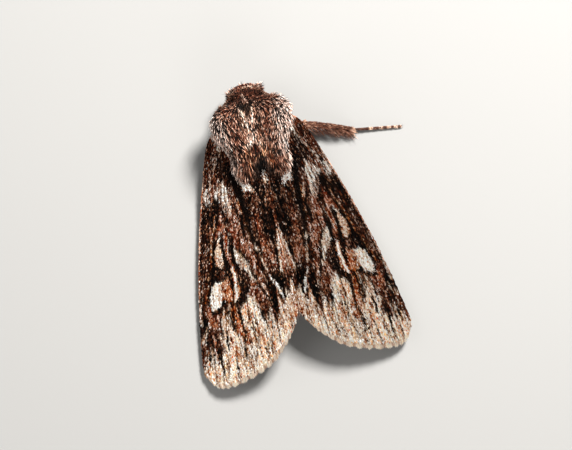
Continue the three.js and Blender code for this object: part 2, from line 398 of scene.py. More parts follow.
# Rows of strokes: (colour, softness, strength, points).
SHADES = [  # broad light and shade of the ground
    (JET, 0.3, 0.95, [(3.0, 3.3, 0.5), (6.0, 2.75, 0.35), (8.6, 2.7, 0.35), (11.4, 2.4, 0.2)]),
    (JET, 0.3, 0.85, [(0.9, 3.9, 0.3), (2.5, 4.1, 0.4), (3.6, 4.2, 0.3)]),
    (JET, 0.3, 0.7, [(7.5, 6.9, 0.3), (9.5, 7.5, 0.35), (12.0, 8.3, 0.3)]),
    (JET, 0.4, 0.75, [(3.4, 0.8, 0.6), (6.0, 0.9, 0.7), (9.4, 0.9, 0.5), (11.5, 0.8, 0.2)]),
    (BROWN, 0.3, 0.7, [(6.3, 1.9, 0.2), (9.6, 1.9, 0.35), (11.5, 1.7, 0.3)]),
    (rgb("#8d6857"), 0.35, 0.85, [(7.4, 4.0, 0.3), (9.0, 4.1, 0.55), (11.0, 3.8, 0.7), (12.4, 3.2, 0.6)]),
    (BROWN, 0.6, 0.6, [(10.6, 1.6, 0.5), (13.0, 1.7, 0.6), (15.0, 2.9, 0.7), (16.5, 3.3, 0.5)]),
    (rgb("#7f5443"), 0.15, 0.85, [(6.8, 5.3, 0.1), (8.2, 5.5, 0.4), (9.4, 5.4, 0.3), (11.0, 5.5, 0.22)]),
    (SOOT, 0.35, 0.7, [(6.0, 6.9, 0.3), (8.0, 7.5, 0.35), (10.0, 7.95, 0.35), (12.4, 8.6, 0.3)]),
    (FAWN, 0.4, 0.75, [(13.2, 3.5, 0.3), (14.6, 3.9, 0.4), (15.6, 4.0, 0.5)]),
    (FAWN, 0.2, 0.75, [(7.4, 5.35, 0.15), (9.0, 5.45, 0.28), (11.5, 5.6, 0.28)]),
    (BROWN, 0.2, 0.8, [(7.0, 6.6, 0.15), (10.0, 7.4, 0.25), (13.0, 8.45, 0.18), (16, 9.2, 0.12)]),
    (JET, 0.14, 0.95, [
        (4.7, 5.2, 0.1), (5.6, 5.5, 0.22), (7.0, 6.05, 0.16),
        (9.6, 6.7, 0.12), (12.4, 7.7, 0.12), (15.4, 8.7, 0.1),
    ]),
    (RUST, 0.08, 0.6, [
        (6.6, 5.6, 0.04), (8.4, 6.15, 0.08), (9.8, 6.7, 0.06), (12.6, 7.9, 0.05), (15.0, 8.75, 0.05),
    ]),
    (JET, 0.2, 0.95, [(5.7, 6.3, 0.3), (6.6, 6.7, 0.3), (7.4, 7.0, 0.1)]),
    (JET, 0.1, 0.85, [(8.0, 7.5, 0.06), (12.0, 8.65, 0.1), (16.0, 9.5, 0.1)]),
    (JET, 0.1, 0.9, [(9.0, 7.2, 0.05), (12.0, 8.2, 0.08), (14.4, 8.9, 0.08)]),
    (JET, 0.1, 0.95, [
        (5.6, 5.1, 0.05), (7.4, 5.0, 0.08), (9.0, 5.0, 0.12), (10.4, 5.05, 0.12), (11.9, 5.1, 0.12),
    ]),
    (JET, 0.14, 0.9, [(8.6, 5.75, 0.06), (10.0, 5.75, 0.1), (12.2, 5.9, 0.14)]),
    (RUST, 0.08, 0.7, [(8.8, 5.15, 0.05), (10.0, 5.35, 0.08), (11.2, 5.6, 0.06)]),
]

MARKS = [
    # pale streaks that run slantwise to the inner margin, and the dark lines beside them
    (JET, 0.12, 0.95, [
        (10.2, 4.95, 0.06), (11.6, 4.3, 0.62), (12.8, 3.8, 0.35),
        (14.4, 3.1, 0.16), (16.4, 2.5, 0.1), (18.4, 1.8, 0.04),
    ]),
    (CREAM, 0.1, 1.0, [
        (10.5, 4.75, 0.1), (11.5, 4.45, 0.42), (12.2, 4.15, 0.4), (13.2, 3.75, 0.16), (14.2, 3.4, 0.04),
    ]),
    (SAND, 0.12, 0.8, [(13.4, 3.1, 0.05), (14.8, 2.75, 0.12), (16.4, 2.35, 0.06)]),
    (JET, 0.12, 0.85, [(14.0, 2.2, 0.12), (15.6, 2.2, 0.22), (17.0, 2.3, 0.12)]),
    (CREAM, 0.09, 0.95, [(11.6, 2.35, 0.08), (12.8, 2.1, 0.16), (13.4, 1.95, 0.05)]),
    (WHITE, 0.08, 0.95, [(13.9, 1.85, 0.05), (14.8, 1.55, 0.14), (15.8, 1.25, 0.1), (16.4, 1.1, 0.03)]),
    (CREAM, 0.12, 0.8, [(10.3, 2.65, 0.1), (11.1, 2.45, 0.2)]),
    (JET, 0.1, 0.85, [(12.4, 1.6, 0.05), (14.2, 1.25, 0.1), (16.2, 0.95, 0.1)]),
    (SAND, 0.12, 0.6, [(12.6, 2.9, 0.05), (13.6, 2.6, 0.1), (14.4, 2.3, 0.04)]),
    # patches near the base
    (rgb("#e0c8b8"), 0.2, 0.95, [(3.9, 4.3, 0.25), (5.0, 4.7, 0.65), (6.0, 4.5, 0.45), (7.2, 4.4, 0.12)]),
    (WHITE, 0.1, 0.95, [(3.95, 4.25, 0.14), (4.6, 4.35, 0.42), (5.4, 4.45, 0.42), (6.1, 4.4, 0.16)]),
    (CREAM, 0.08, 0.95, [(0.3, 3.95, 0.12), (0.8, 3.8, 0.1)]),
    (CREAM, 0.05, 0.9, [(0.9, 4.05, 0.03), (2.4, 4.9, 0.045), (4.0, 5.55, 0.045)]),
    (CREAM, 0.08, 0.9, [(5.5, 4.3, 0.1), (6.4, 4.2, 0.1), (7.2, 4.15, 0.03)]),
    (SOOT, 0.06, 0.75, [(4.2, 4.3, 0.02), (5.4, 4.42, 0.06), (7.0, 4.45, 0.04)]),
    (SOOT, 0.06, 0.75, [(4.4, 4.65, 0.02), (5.6, 4.85, 0.05), (6.8, 4.95, 0.04)]),
    (CREAM, 0.08, 0.8, [(3.0, 5.3, 0.04), (4.0, 5.65, 0.06), (5.2, 6.05, 0.07), (6.0, 6.2, 0.03)]),
    (WHITE, 0.1, 0.9, [(4.2, 5.0, 0.14), (4.75, 5.15, 0.3), (5.2, 5.3, 0.14)]),
    (JET, 0.1, 0.95, [(4.9, 5.5, 0.06), (5.6, 5.65, 0.24), (6.5, 6.0, 0.24), (7.4, 6.4, 0.08)]),
    (JET, 0.08, 0.85, [(5.9, 4.75, 0.04), (6.6, 4.9, 0.09), (7.4, 5.05, 0.04)]),
    (WHITE, 0.1, 0.9, [(4.1, 6.05, 0.1), (4.8, 6.35, 0.24), (5.4, 6.35, 0.14)]),
    (JET, 0.1, 0.85, [(5.5, 6.7, 0.1), (6.2, 6.85, 0.2), (6.9, 7.0, 0.08)]),
    (SAND, 0.08, 0.95, [(5.7, 3.35, 0.06), (6.6, 3.3, 0.16), (7.3, 3.2, 0.08)]),
    (RUST, 0.1, 0.8, [(5.9, 3.15, 0.05), (7.2, 3.05, 0.1)]),
    (RUST, 0.1, 0.9, [(7.9, 3.0, 0.06), (8.6, 2.95, 0.1), (9.7, 2.9, 0.06)]),
    (FAWN, 0.2, 0.6, [(5.9, 1.4, 0.1), (7.2, 0.55, 0.12)]),
    (CREAM, 0.04, 1.0, [(3.4, 0.1, 0.03), (4.4, 0.12, 0.07), (5.6, 0.1, 0.02)]),
    (SAND, 0.08, 0.8, [(5.9, 0.35, 0.08), (6.6, 0.5, 0.12)]),
    # wedge on the midline and the patch over the notch
    (TAN, 0.1, 0.9, [(9.6, 0.1, 0.06), (11.0, 0.15, 0.28), (13.0, 0.35, 0.36), (14.0, 0.65, 0.2)]),
    (CREAM, 0.08, 0.9, [(9.9, 0.12, 0.05), (11.0, 0.3, 0.12), (12.6, 0.5, 0.12), (14.0, 0.75, 0.08)]),
    (JET, 0.15, 0.85, [(13.9, 0.7, 0.12), (15.0, 0.5, 0.25), (15.6, 0.25, 0.1)]),
    (rgb("#e2cab4"), 0.3, 0.95, [(16.1, 0.0, 0.4), (17.0, 0.3, 0.7), (18.0, 0.6, 0.6)]),
    (RUST, 0.2, 0.6, [(17.4, 0.1, 0.2), (18.6, 0.3, 0.2)]),
    # dark ground round the claw mark
    (JET, 0.14, 1.0, [
        (11.9, 4.85, 0.12), (13.2, 4.75, 0.32), (14.6, 4.65, 0.42), (15.5, 5.1, 0.42), (15.95, 5.8, 0.2),
    ]),
    # streaks between the veins of the outer field
    (rgb("#ad7c5c"), 0.2, 0.95, [
        (15.9, 6.2, 0.45), (17.4, 6.15, 0.45), (18.6, 5.9, 0.6), (19.6, 5.7, 0.5),
    ]),
    (JET, 0.08, 0.9, [(19.4, 5.9, 0.05), (20.6, 6.1, 0.08), (21.6, 6.25, 0.03)]),
    (CREAM, 0.08, 0.8, [(16.0, 6.75, 0.06), (17.4, 6.8, 0.1), (18.6, 6.9, 0.06)]),
    (JET, 0.08, 0.8, [(16.0, 7.1, 0.04), (17.2, 7.15, 0.07), (18.4, 7.2, 0.04)]),
    (rgb("#dcc0a8"), 0.2, 0.9, [(16.4, 7.4, 0.22), (18.4, 7.5, 0.34)]),
    (CREAM, 0.1, 0.8, [(16.8, 7.75, 0.06), (18.0, 7.8, 0.1), (18.6, 7.9, 0.04)]),
    (JET, 0.09, 0.9, [(18.4, 7.45, 0.06), (19.4, 7.6, 0.14), (20.2, 7.8, 0.05)]),
    (rgb("#8f6048"), 0.25, 0.85, [(16.2, 8.6, 0.35), (17.6, 8.7, 0.35)]),
    (SOOT, 0.16, 0.85, [(17.8, 8.9, 0.2), (19.0, 8.5, 0.24), (20.2, 8.4, 0.28)]),
    (JET, 0.09, 0.95, [(19.8, 8.45, 0.1), (21.4, 8.7, 0.12), (22.8, 8.72, 0.04)]),
    (JET, 0.09, 0.9, [(19.4, 9.5, 0.08), (21.0, 9.8, 0.1), (21.8, 9.9, 0.04)]),
    (JET, 0.09, 0.8, [(19.0, 9.1, 0.08), (20.6, 9.3, 0.08), (21.4, 9.35, 0.03)]),
    (SOOT, 0.09, 0.85, [(20.6, 7.15, 0.06), (22.0, 7.3, 0.07), (23.2, 7.35, 0.03)]),
    (SOOT, 0.09, 0.85, [(18.6, 4.9, 0.06), (20.0, 4.75, 0.08), (21.6, 4.6, 0.03)]),
    (SOOT, 0.09, 0.8, [(19.4, 5.25, 0.06), (20.4, 5.4, 0.07)]),
    (JET, 0.08, 0.9, [(16.6, 3.85, 0.06), (17.6, 3.6, 0.11), (18.6, 3.4, 0.05)]),
    (SOOT, 0.09, 0.8, [(19.6, 3.0, 0.04), (20.4, 3.3, 0.08), (21.0, 3.5, 0.04)]),
    (CHESTNUT, 0.2, 0.6, [(18.4, 4.2, 0.1), (19.6, 4.1, 0.15)]),
    (CHESTNUT, 0.2, 0.6, [(20.0, 7.0, 0.1), (21.0, 6.8, 0.2)]),
    (CHESTNUT, 0.2, 0.5, [(17.6, 1.6, 0.1), (18.8, 1.9, 0.2)]),
    (SOOT, 0.05, 0.85, [(19.6, 6.35, 0.03), (20.8, 6.45, 0.05), (22.2, 6.5, 0.02)]),
    (SOOT, 0.05, 0.8, [(20.4, 8.05, 0.03), (21.6, 8.1, 0.05), (22.6, 8.15, 0.02)]),
    (SOOT, 0.05, 0.8, [(19.0, 2.2, 0.03), (20.0, 2.45, 0.05), (20.8, 2.6, 0.02)]),
    (SOOT, 0.05, 0.75, [(17.0, 4.5, 0.03), (18.4, 4.45, 0.05), (19.4, 4.4, 0.02)]),
    (SOOT, 0.05, 0.75, [(20.6, 3.9, 0.03), (21.8, 4.0, 0.04)]),
    # front edge and tip
    (SOOT, 0.3, 0.6, [(15.6, 9.75, 0.2), (17.0, 10.0, 0.25), (18.6, 10.3, 0.3), (20.4, 10.4, 0.25)]),
    (SOOT, 0.25, 0.3, [(18.6, 9.4, 0.2), (20.2, 9.7, 0.4)]),
    (CREAM, 0.07, 0.8, [(19.1, 9.85, 0.04), (20.2, 10.15, 0.07), (20.9, 10.2, 0.03)]),
    (CREAM, 0.07, 0.7, [(19.6, 9.1, 0.04), (20.6, 9.5, 0.06), (21.4, 9.6, 0.03)]),
    (CREAM, 0.1, 0.9, [(14.4, 9.1, 0.04), (16.2, 9.65, 0.08), (17.2, 9.75, 0.1)]),
    (CREAM, 0.1, 0.85, [(17.6, 9.35, 0.1), (18.4, 9.7, 0.16), (19.0, 10.15, 0.1)]),
]

LINES = [
    (JET, 0.12, 0.8, [
        (3.6, 3.2, 0.3), (5.8, 2.8, 0.26), (7.4, 2.85, 0.26), (9.4, 2.85, 0.22), (10.4, 2.7, 0.1),
    ]),
    (JET, 0.1, 0.75, [(7.2, 3.35, 0.1), (8.6, 3.4, 0.16), (9.8, 3.35, 0.1)]),
    (JET, 0.06, 0.9, [
        (5.8, 4.55, 0.05), (7.0, 4.6, 0.07), (9.0, 4.7, 0.07),
        (10.4, 4.85, 0.07), (11.3, 5.0, 0.1), (12.0, 5.1, 0.08),
    ]),
    (JET, 0.06, 0.9, [
        (5.0, 5.0, 0.1), (6.0, 5.35, 0.16), (7.0, 5.75, 0.1), (8.2, 6.1, 0.07),
        (9.4, 6.5, 0.08), (11.0, 7.05, 0.1), (12.2, 7.3, 0.08),
    ]),
    (JET, 0.06, 0.85, [
        (6.6, 6.3, 0.06), (8.0, 6.75, 0.08), (9.6, 7.2, 0.07), (11.4, 7.75, 0.06), (13.4, 8.2, 0.05),
    ]),
    (rgb("#c08a66"), 0.05, 0.7, [
        (6.8, 5.95, 0.03), (8.2, 6.4, 0.05), (9.6, 6.85, 0.05), (11.6, 7.45, 0.03),
    ]),
    (WHITE, 0.05, 0.85, [(8.3, 5.8, 0.03), (9.0, 5.95, 0.06), (9.5, 6.1, 0.05)]),
    (JET, 0.06, 0.85, [(8.6, 5.6, 0.04), (9.8, 5.75, 0.07), (11.2, 5.8, 0.09), (12.2, 5.95, 0.1)]),
    (CREAM, 0.06, 0.7, [(8.8, 4.95, 0.03), (9.8, 5.15, 0.05), (11.0, 5.45, 0.05)]),
    (JET, 0.05, 0.95, [(15.7, 5.8, 0.1), (17.4, 5.72, 0.12), (18.8, 5.76, 0.1), (19.6, 5.65, 0.03)]),
    (JET, 0.05, 0.95, [(15.7, 6.35, 0.07), (17.4, 6.42, 0.09), (18.7, 6.45, 0.07), (19.4, 6.5, 0.02)]),
    (JET, 0.05, 0.85, [(16.2, 6.7, 0.03), (17.4, 6.75, 0.05), (18.5, 6.74, 0.02)]),
    (JET, 0.05, 0.95, [(19.6, 8.55, 0.04), (20.8, 8.75, 0.09), (22.2, 8.7, 0.02)]),
    (JET, 0.05, 0.9, [(18.2, 7.5, 0.03), (19.2, 7.6, 0.08), (20.3, 7.8, 0.02)]),
    (JET, 0.05, 0.9, [(19.4, 6.0, 0.03), (20.6, 6.15, 0.07), (22.0, 6.3, 0.02)]),
    (JET, 0.05, 0.85, [(16.8, 3.8, 0.03), (18.0, 3.5, 0.08), (19.2, 3.2, 0.02)]),
    (JET, 0.05, 0.85, [(18.8, 9.4, 0.04), (20.4, 9.75, 0.07), (21.6, 9.95, 0.02)]),
    (JET, 0.05, 0.8, [(20.6, 7.15, 0.02), (21.8, 7.3, 0.06), (23.2, 7.4, 0.02)]),
    (JET, 0.05, 0.8, [(17.2, 4.75, 0.02), (18.6, 4.7, 0.06), (20.0, 4.6, 0.02)]),
    (JET, 0.05, 0.8, [(17.4, 2.6, 0.02), (18.6, 2.8, 0.05), (19.6, 3.0, 0.02)]),
    (JET, 0.05, 0.75, [(20.2, 5.0, 0.02), (21.4, 5.15, 0.05), (22.4, 5.3, 0.02)]),
]

# Corners of the flat marks: (back, out).
PATCH_WHITE = [
    (4.0, 2.2), (4.1, 2.7), (5.0, 2.75), (5.3, 2.4), (5.05, 2.05),
    (5.5, 1.6), (5.25, 1.35), (4.7, 1.6), (4.35, 1.85),
]
KIDNEY = [
    (13.2, 6.0), (13.3, 7.0), (13.5, 7.95), (14.7, 8.15), (15.4, 8.5),
    (16.2, 8.45), (15.9, 7.8), (15.3, 7.1), (15.5, 6.2), (14.5, 5.9),
]
ROUND = [
    (9.1, 6.0), (10.0, 6.55), (10.9, 6.9), (11.7, 6.85),
    (12.1, 6.5), (11.8, 6.15), (10.9, 6.0), (10.0, 6.0),
]
CLAW = [
    (11.9, 5.25), (13.0, 5.15), (14.2, 5.15), (15.2, 5.35), (15.8, 6.0),
    (15.0, 5.8), (14.0, 5.5), (13.0, 5.6), (12.3, 5.5),
]

ROUND_PALE = [(CREAM, 0.2, 0.8, [(10.0, 6.3, 0.1), (11.6, 6.5, 0.25)])]
KIDNEY_DARK = [(JET, 0.08, 0.95, [(15.55, 6.9, 0.12), (16.1, 7.7, 0.22), (16.5, 8.4, 0.16)])]

# Where the pale outer field begins: places out from the midline, and how far back it starts there.
BORDER_OUT = [0.0, 1.0, 2.2, 3.4, 4.4, 5.4, 6.2, 7.2, 8.0, 9.0, 10.6]
BORDER_BACK = [15.4, 16.0, 18.0, 17.0, 15.9, 16.0, 19.4, 16.4, 18.6, 20.4, 20.8]


def wing_places(out, y):
    """Places on a forewing, with all that its pattern is worked out from."""
    back, share = SHOULDER_Y - y, out / half_spread(y)
    at = SimpleNamespace(out=out, y=y, back=back, share=share)
    # the same places, moved a little so that the marks have uneven edges
    at.b = back + 0.3 * swing(out * 3.1, back * 1.3, 1) + 0.14 * swing(out * 8, back * 5, 2)
    at.o = out + 0.2 * swing(out * 2.2, back * 1.7, 3) + 0.12 * swing(out * 8, back * 6, 4)
    # streaks that run along the wing, coarse and fine
    at.coarse = noise(share * 30, back * 0.35, 5)
    at.fine = noise(share * 78, back * 0.8, 6)
    at.border = np.interp(out, BORDER_OUT, BORDER_BACK) + 2.4 * swing(share * 26, back * 0.2, 8)
    return at


def forewing_ground(at):
    """The streaky dark ground with its broad shades, and the pale outer field."""
    streak = at.coarse * 0.45 + at.fine * 0.55
    colour = mix(mix(JET, UMBER, ease(0.34, 0.48, streak)), FAWN, ease(0.54, 0.72, streak))
    colour = stroked(colour, at.b, at.o, SHADES, 1.25 - 0.5 * at.fine)
    mottle = 0.4 * noise(at.out * 2.6, at.back * 1.4, 7) + 0.6 * (at.coarse * 0.4 + at.fine * 0.6)
    outer = mix(rgb("#7c573f"), rgb("#f6dcc3"), ease(0.18, 0.3, mottle))
    outer = mix(outer, rgb("#fdf1e0"), ease(0.4, 0.58, mottle))
    colour = mix(colour, outer, ease(-0.5, 0.5, at.back - at.border))
    # fine grain: small groups of scales paler or darker than the rest
    grain = swing(at.out * 11, at.back * 8.0, 13) + 1.3 * swing(at.share * 70, at.back * 0.8, 14)
    return np.clip(colour, DEEPEST, 1) ** np.exp(grain)[..., None]


def forewing_marks(colour, at):
    """The streaks and patches, and the round, kidney and claw marks."""
    b, o, out, back = at.b, at.o, at.out, at.back
    colour = stroked(colour, b, o, MARKS, 1.2 - 0.5 * at.fine)
    # white patch with torn edges
    torn = 0.55 * swing(out * 7, back * 7, 22)
    patch = mix(WHITE, rgb("#a98a78"), ease(0.6, 0.75, noise(out * 9, back * 9, 23)))
    colour = mix(colour, JET, 0.8 * blot(b, o, PATCH_WHITE, 0.12, 0.1))
    colour = mix(colour, patch, blot(b + torn, o - torn, PATCH_WHITE, 0.06, -0.03))
    # round mark with its dark rim
    colour = mix(colour, JET, 0.9 * blot(b, o, ROUND, 0.12, 0.16))
    colour = mix(colour, rgb("#d2b094"), blot(b, o, ROUND, 0.06))
    colour = stroked(colour, b, o, ROUND_PALE)
    # kidney mark, brown within and white towards the tip, with dark below
    colour = mix(colour, JET, 0.95 * blot(b, o, KIDNEY, 0.07, 0.12))
    colour = stroked(colour, b, o, KIDNEY_DARK)
    pale = (o - 6.0) + 0.35 * ease(14.0, 13.3, b) + 0.9 * swing(out * 7, back * 6, 9)
    white = mix(WHITE, rgb("#e3cbb5"), ease(0.62, 0.8, noise(out * 9, back * 6, 25)))
    kidney = mix(mix(rgb("#86563c"), rgb("#bb8f70"), ease(-0.1, 0.7, pale)), white, ease(0.65, 1.3, pale))
    colour = mix(colour, kidney, blot(b, o, KIDNEY, 0.07))
    # claw mark, cream with a rusty edge
    colour = mix(colour, JET, 0.95 * blot(b, o, CLAW, 0.08, 0.16))
    colour = mix(colour, rgb("#c4895f"), blot(b, o, CLAW, 0.06, 0.03))
    return mix(colour, WHITE, blot(b, o, CLAW, 0.06, -0.06))


def forewing_flecks(colour, at):
    """Small groups of pale scales in the dark and of dark scales in the pale, fewer in the marks."""
    out, back = at.out, at.back
    speck = 0.58 * noise(out * 11, back * 7.0, 15) + 0.42 * noise(out * 6.5, back * 1.2, 16)
    colour = np.clip(colour, DEEPEST, 1)
    lightness = np.mean(colour, axis=-1)
    calm = 1 - 0.8 * np.maximum.reduce([blot(at.b, at.o, mark, 0.1) for mark in (KIDNEY, ROUND, CLAW)])
    pale_fleck = calm * ease(0.54, 0.64, speck) * (0.06 + 0.5 * ease(0.08, 0.4, lightness))
    dark_fleck = calm * ease(0.47, 0.37, speck) * (0.6 - 0.3 * ease(0.55, 0.85, lightness))
    colour = mix(colour, colour**0.5, pale_fleck)
    colour = mix(colour, colour**1.7 * np.array([0.66, 0.56, 0.48]), dark_fleck)
    spark = ease(0.68, 0.76, noise(out * 15, back * 7.5, 18)) * ease(0.3, 0.12, lightness)
    return mix(colour, rgb("#946c56"), 0.5 * spark)


def forewing_lines(colour, at):
    """Thin dark lines on and between the veins, dark streaks into the pale field, and clear dark lines."""
    back, share = at.back, at.share
    midway = vein_share(at.out, at.y)
    line = ease(0.78, 0.97, 1 - midway) * ease(0.4, 0.6, noise(share * 15, back * 0.5, 12))
    line = np.maximum(line, ease(0.7, 0.78, noise(share * 70, back * 0.42, 19)))
    colour = np.clip(colour, DEEPEST, 1)
    cover = (0.85 - 0.4 * ease(0.5, 0.8, np.mean(colour, axis=-1))) * line
    colour = mix(colour, colour**1.4 * np.array([0.5, 0.4, 0.33]), cover)
    reach = back - at.border
    between = ease(0.72, 0.98, midway) * ease(0.46, 0.62, noise(share * VEINS, back * 0.3, 24))
    between = between * ease(-0.4, 0.4, reach) * ease(5.0, 2.6, reach)
    colour = mix(colour, rgb("#24130d"), 0.6 * between)
    ragged = 1.15 - 0.45 * noise(at.out * 12, back * 5, 17)
    for shade, soft, strength, points in LINES:
        colour = mix(colour, shade, np.clip(strength * ragged, 0, 1) * stroke(at.b, at.o, points, soft))
    return colour


def forewing_colour(out, y):
    """The whole pattern of a forewing's upper side."""
    at = wing_places(out, y)
    colour = forewing_lines(forewing_flecks(forewing_marks(forewing_ground(at), at), at), at)
    # middle tones richer in colour, and all a little darker
    grey = np.mean(colour, axis=-1, keepdims=True)
    warmth = 1 + 0.5 * ease(0.06, 0.2, grey) * ease(0.7, 0.4, grey)
    colour = np.clip(grey + (colour - grey) * warmth, 0, 1) ** 1.06
    # pale line along the front edge
    edge = half_spread(y) - out
    rim = ease(-0.02, 0.05, 0.14 - edge) * (1 - ease(14, 17, at.back)) * ease(2.0, 4.0, at.back)
    return mix(colour, rgb("#cf9d80"), 0.85 * rim)


def grained(colour, amount):
    """Each scale a little paler or darker than its neighbours, the darkest ones by less."""
    room = 0.25 + 0.75 * ease(0.04, 0.26, np.mean(colour, axis=-1))
    change = chance.normal(0, amount, np.shape(colour)[:-1]) * room
    return np.clip(colour, DEEPEST, 1) ** np.exp(change)[..., None]


# ---------------------------------------------------------------- materials


def coat_group():
    """Fine change of colour and roughness over a coat, for every furred and scaled surface."""
    group = bpy.data.node_groups.new("coat_grain", "ShaderNodeTree")
    face = group.interface
    for socket, kind in (("Tint", "Color"), ("Grain", "Float"), ("Change", "Float"), ("Base", "Float")):
        face.new_socket(socket, in_out="INPUT", socket_type=f"NodeSocket{kind}")
    for socket, kind in (("Colour", "Color"), ("Roughness", "Float")):
        face.new_socket(socket, in_out="OUTPUT", socket_type=f"NodeSocket{kind}")
    nodes, links = group.nodes, group.links
    into, out = nodes.new("NodeGroupInput"), nodes.new("NodeGroupOutput")
    place, speck = nodes.new("ShaderNodeTexCoord"), nodes.new("ShaderNodeTexNoise")
    speck.inputs["Detail"].default_value = 3
    links.new(place.outputs["Object"], speck.inputs["Vector"])
    links.new(into.outputs["Grain"], speck.inputs["Scale"])
    level = arithmetic(group, "SUBTRACT", speck.outputs["Fac"], 0.5)
    change = arithmetic(group, "MULTIPLY", level, into.outputs["Change"])
    tone = nodes.new("ShaderNodeHueSaturation")
    links.new(into.outputs["Tint"], tone.inputs["Color"])
    links.new(arithmetic(group, "ADD", change, 1), tone.inputs["Value"])
    links.new(tone.outputs["Color"], out.inputs["Colour"])
    rough = arithmetic(group, "SUBTRACT", into.outputs["Base"], change, clamp=True)
    links.new(rough, out.inputs["Roughness"])
    return group


COAT_GRAIN = coat_group()


def coat_material(name, grain, change, rough, shine):
    """Finish of a coat that carries its colours in the tint attribute. grain: specks per metre."""
    paint, nodes, links, shader = new_material(name, {"Specular IOR Level": shine})
    tint = nodes.new("ShaderNodeAttribute")
    tint.attribute_name = "tint"
    effect = nodes.new("ShaderNodeGroup")
    effect.node_tree = COAT_GRAIN
    for socket, value in (("Grain", grain), ("Change", change), ("Base", rough)):
        effect.inputs[socket].default_value = value
    links.new(tint.outputs["Color"], effect.inputs["Tint"])
    links.new(effect.outputs["Colour"], shader.inputs["Base Color"])
    links.new(effect.outputs["Roughness"], shader.inputs["Roughness"])
    return paint


SCALE_FINISH = coat_material("wing_scales", 2600, 0.4, 0.85, 0.03)
HIND_FINISH = coat_material("hindwing_scales", 2200, 0.4, 0.8, 0.05)
FUR_FINISH = coat_material("body_fur", 1800, 0.4, 0.7, 0.08)
SKIN_FINISH = coat_material("skin", 1500, 0.6, 0.8, 0.1)
LEG_FINISH = coat_material("leg_scales", 3000, 0.5, 0.6, 0.2)
FEELER_FINISH = coat_material("feeler_shaft", 3000, 0.5, 0.5, 0.3)

# ---------------------------------------------------------------- meshes from arrays


RICHNESS = (1.5, 0.9)  # strength of colour of dark scales and of pale ones, where 1 is that of their palette


def set_tint(mesh, colours):
    """Gives each point of a mesh its colour."""
    layer = mesh.color_attributes.new("tint", "FLOAT_COLOR", "POINT")
    rows = np.ones((len(mesh.vertices), 4), np.float32)
    grey = np.mean(colours, axis=-1, keepdims=True)
    rich = RICHNESS[0] + (RICHNESS[1] - RICHNESS[0]) * np.clip(grey, 0, 1)
    rows[:, :3] = linear(np.clip(grey + (colours - grey) * rich, 0, 1))
    layer.data.foreach_set("color", rows.ravel())


def points_of(mesh):
    """A mesh's points in millimetres."""
    rows = np.empty(len(mesh.vertices) * 3)
    mesh.vertices.foreach_get("co", rows)
    return rows.reshape(-1, 3) / MM


def normals_of(mesh):
    """The normals of a mesh's points."""
    rows = np.empty(len(mesh.vertices) * 3)
    mesh.vertices.foreach_get("normal", rows)
    return rows.reshape(-1, 3)


def put_points(mesh, points):
    """Moves a mesh's points to places in millimetres."""
    mesh.vertices.foreach_set("co", (np.asarray(points) * MM).ravel())
    mesh.update()


def finish_piece(piece, replaced=()):
    """Says what a finished piece rides on, and hides the parts that it stands for."""
    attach(piece, BODY)
    if replaced:
        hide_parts(*replaced)
    return piece


def coat_piece(name, points, faces, colours, roots_uv, corners_uv, finish):
    """One mesh of many small closed shapes. points: shapes x corners x 3, faces: the corners of one shape."""
    shapes, corners = points.shape[:2]
    triangles = (faces[None] + (np.arange(shapes) * corners)[:, None, None]).reshape(-1)
    count = len(triangles) // 3
    mesh = bpy.data.meshes.new(name)
    mesh.vertices.add(shapes * corners)
    mesh.vertices.foreach_set("co", (points * MM).astype(np.float32).ravel())
    mesh.loops.add(len(triangles))
    mesh.loops.foreach_set("vertex_index", triangles.astype(np.int32))
    mesh.polygons.add(count)
    mesh.polygons.foreach_set("loop_start", np.arange(0, len(triangles), 3, dtype=np.int32))
    mesh.update(calc_edges=True)
    set_tint(mesh, colours.reshape(-1, 3))
    places = roots_uv[:, None, :] + corners_uv[None]
    layer = mesh.uv_layers.new(name="OFBake")
    layer.data.foreach_set("uv", places.reshape(-1, 2)[triangles].astype(np.float32).ravel())
    mesh.materials.append(finish)
    piece = bpy.data.objects.new(name, mesh)
    bpy.context.collection.objects.link(piece)
    return finish_piece(piece)


PATCH = 0.003  # size of one tuft's patch on the unwrapped skin
KITE_FACES = np.array([(0, 1, 3), (0, 3, 2), (0, 2, 1), (1, 2, 3)])
KITE_UV = np.array([(0, 0.5), (0.65, 0), (0.65, 1), (1, 0.5)]) * PATCH
# a lock: root 0, lower ring 1 to 3, upper ring 4 to 6, tip 7
TURNS = [(i, (i + 1) % 3) for i in range(3)]
LOCK_FACES = np.array(
    [(0, 1 + i, 1 + j) for i, j in TURNS] + [(1 + i, 4 + i, 4 + j) for i, j in TURNS]
    + [(1 + i, 4 + j, 1 + j) for i, j in TURNS] + [(7, 4 + j, 4 + i) for i, j in TURNS]
)
LOCK_UV = np.array([(0, 0.5), *((u, v) for u in (0.35, 0.7) for v in (0, 1, 0.5)), (1, 0.5)]) * PATCH


def shaded_kite_colours(tone, root, sides, tip):
    """Colours of a scale's four points: its root, its two shoulders and its tip. Factors below 1 paint shade
    towards the root, where the scale lies under the one before it, and a factor above 1 paints a highlight on
    the raised tip.
    """
    return np.stack([tone * root, tone * sides, tone * sides, np.clip(tone * tip, 0, 1)], axis=1)


def on_map(along, across):
    """Places on an unwrapped surface, with a small margin. along and across: 0 to 1."""
    return np.stack([0.01 + 0.97 * along, 0.01 + 0.97 * across], axis=-1)


def shaded_lock_colours(root, lower, upper, tip):
    """Colours of a lock's eight points: its root, its two rings and its tip. Callers darken the root and
    lower ring as painted shade deep in the coat.
    """
    return np.stack([root, *[lower] * 3, *[upper] * 3, tip], axis=1)


def columns(count, *values):
    """Each value, single or one for each shape, as a column."""
    return (np.broadcast_to(value, count)[:, None] for value in values)


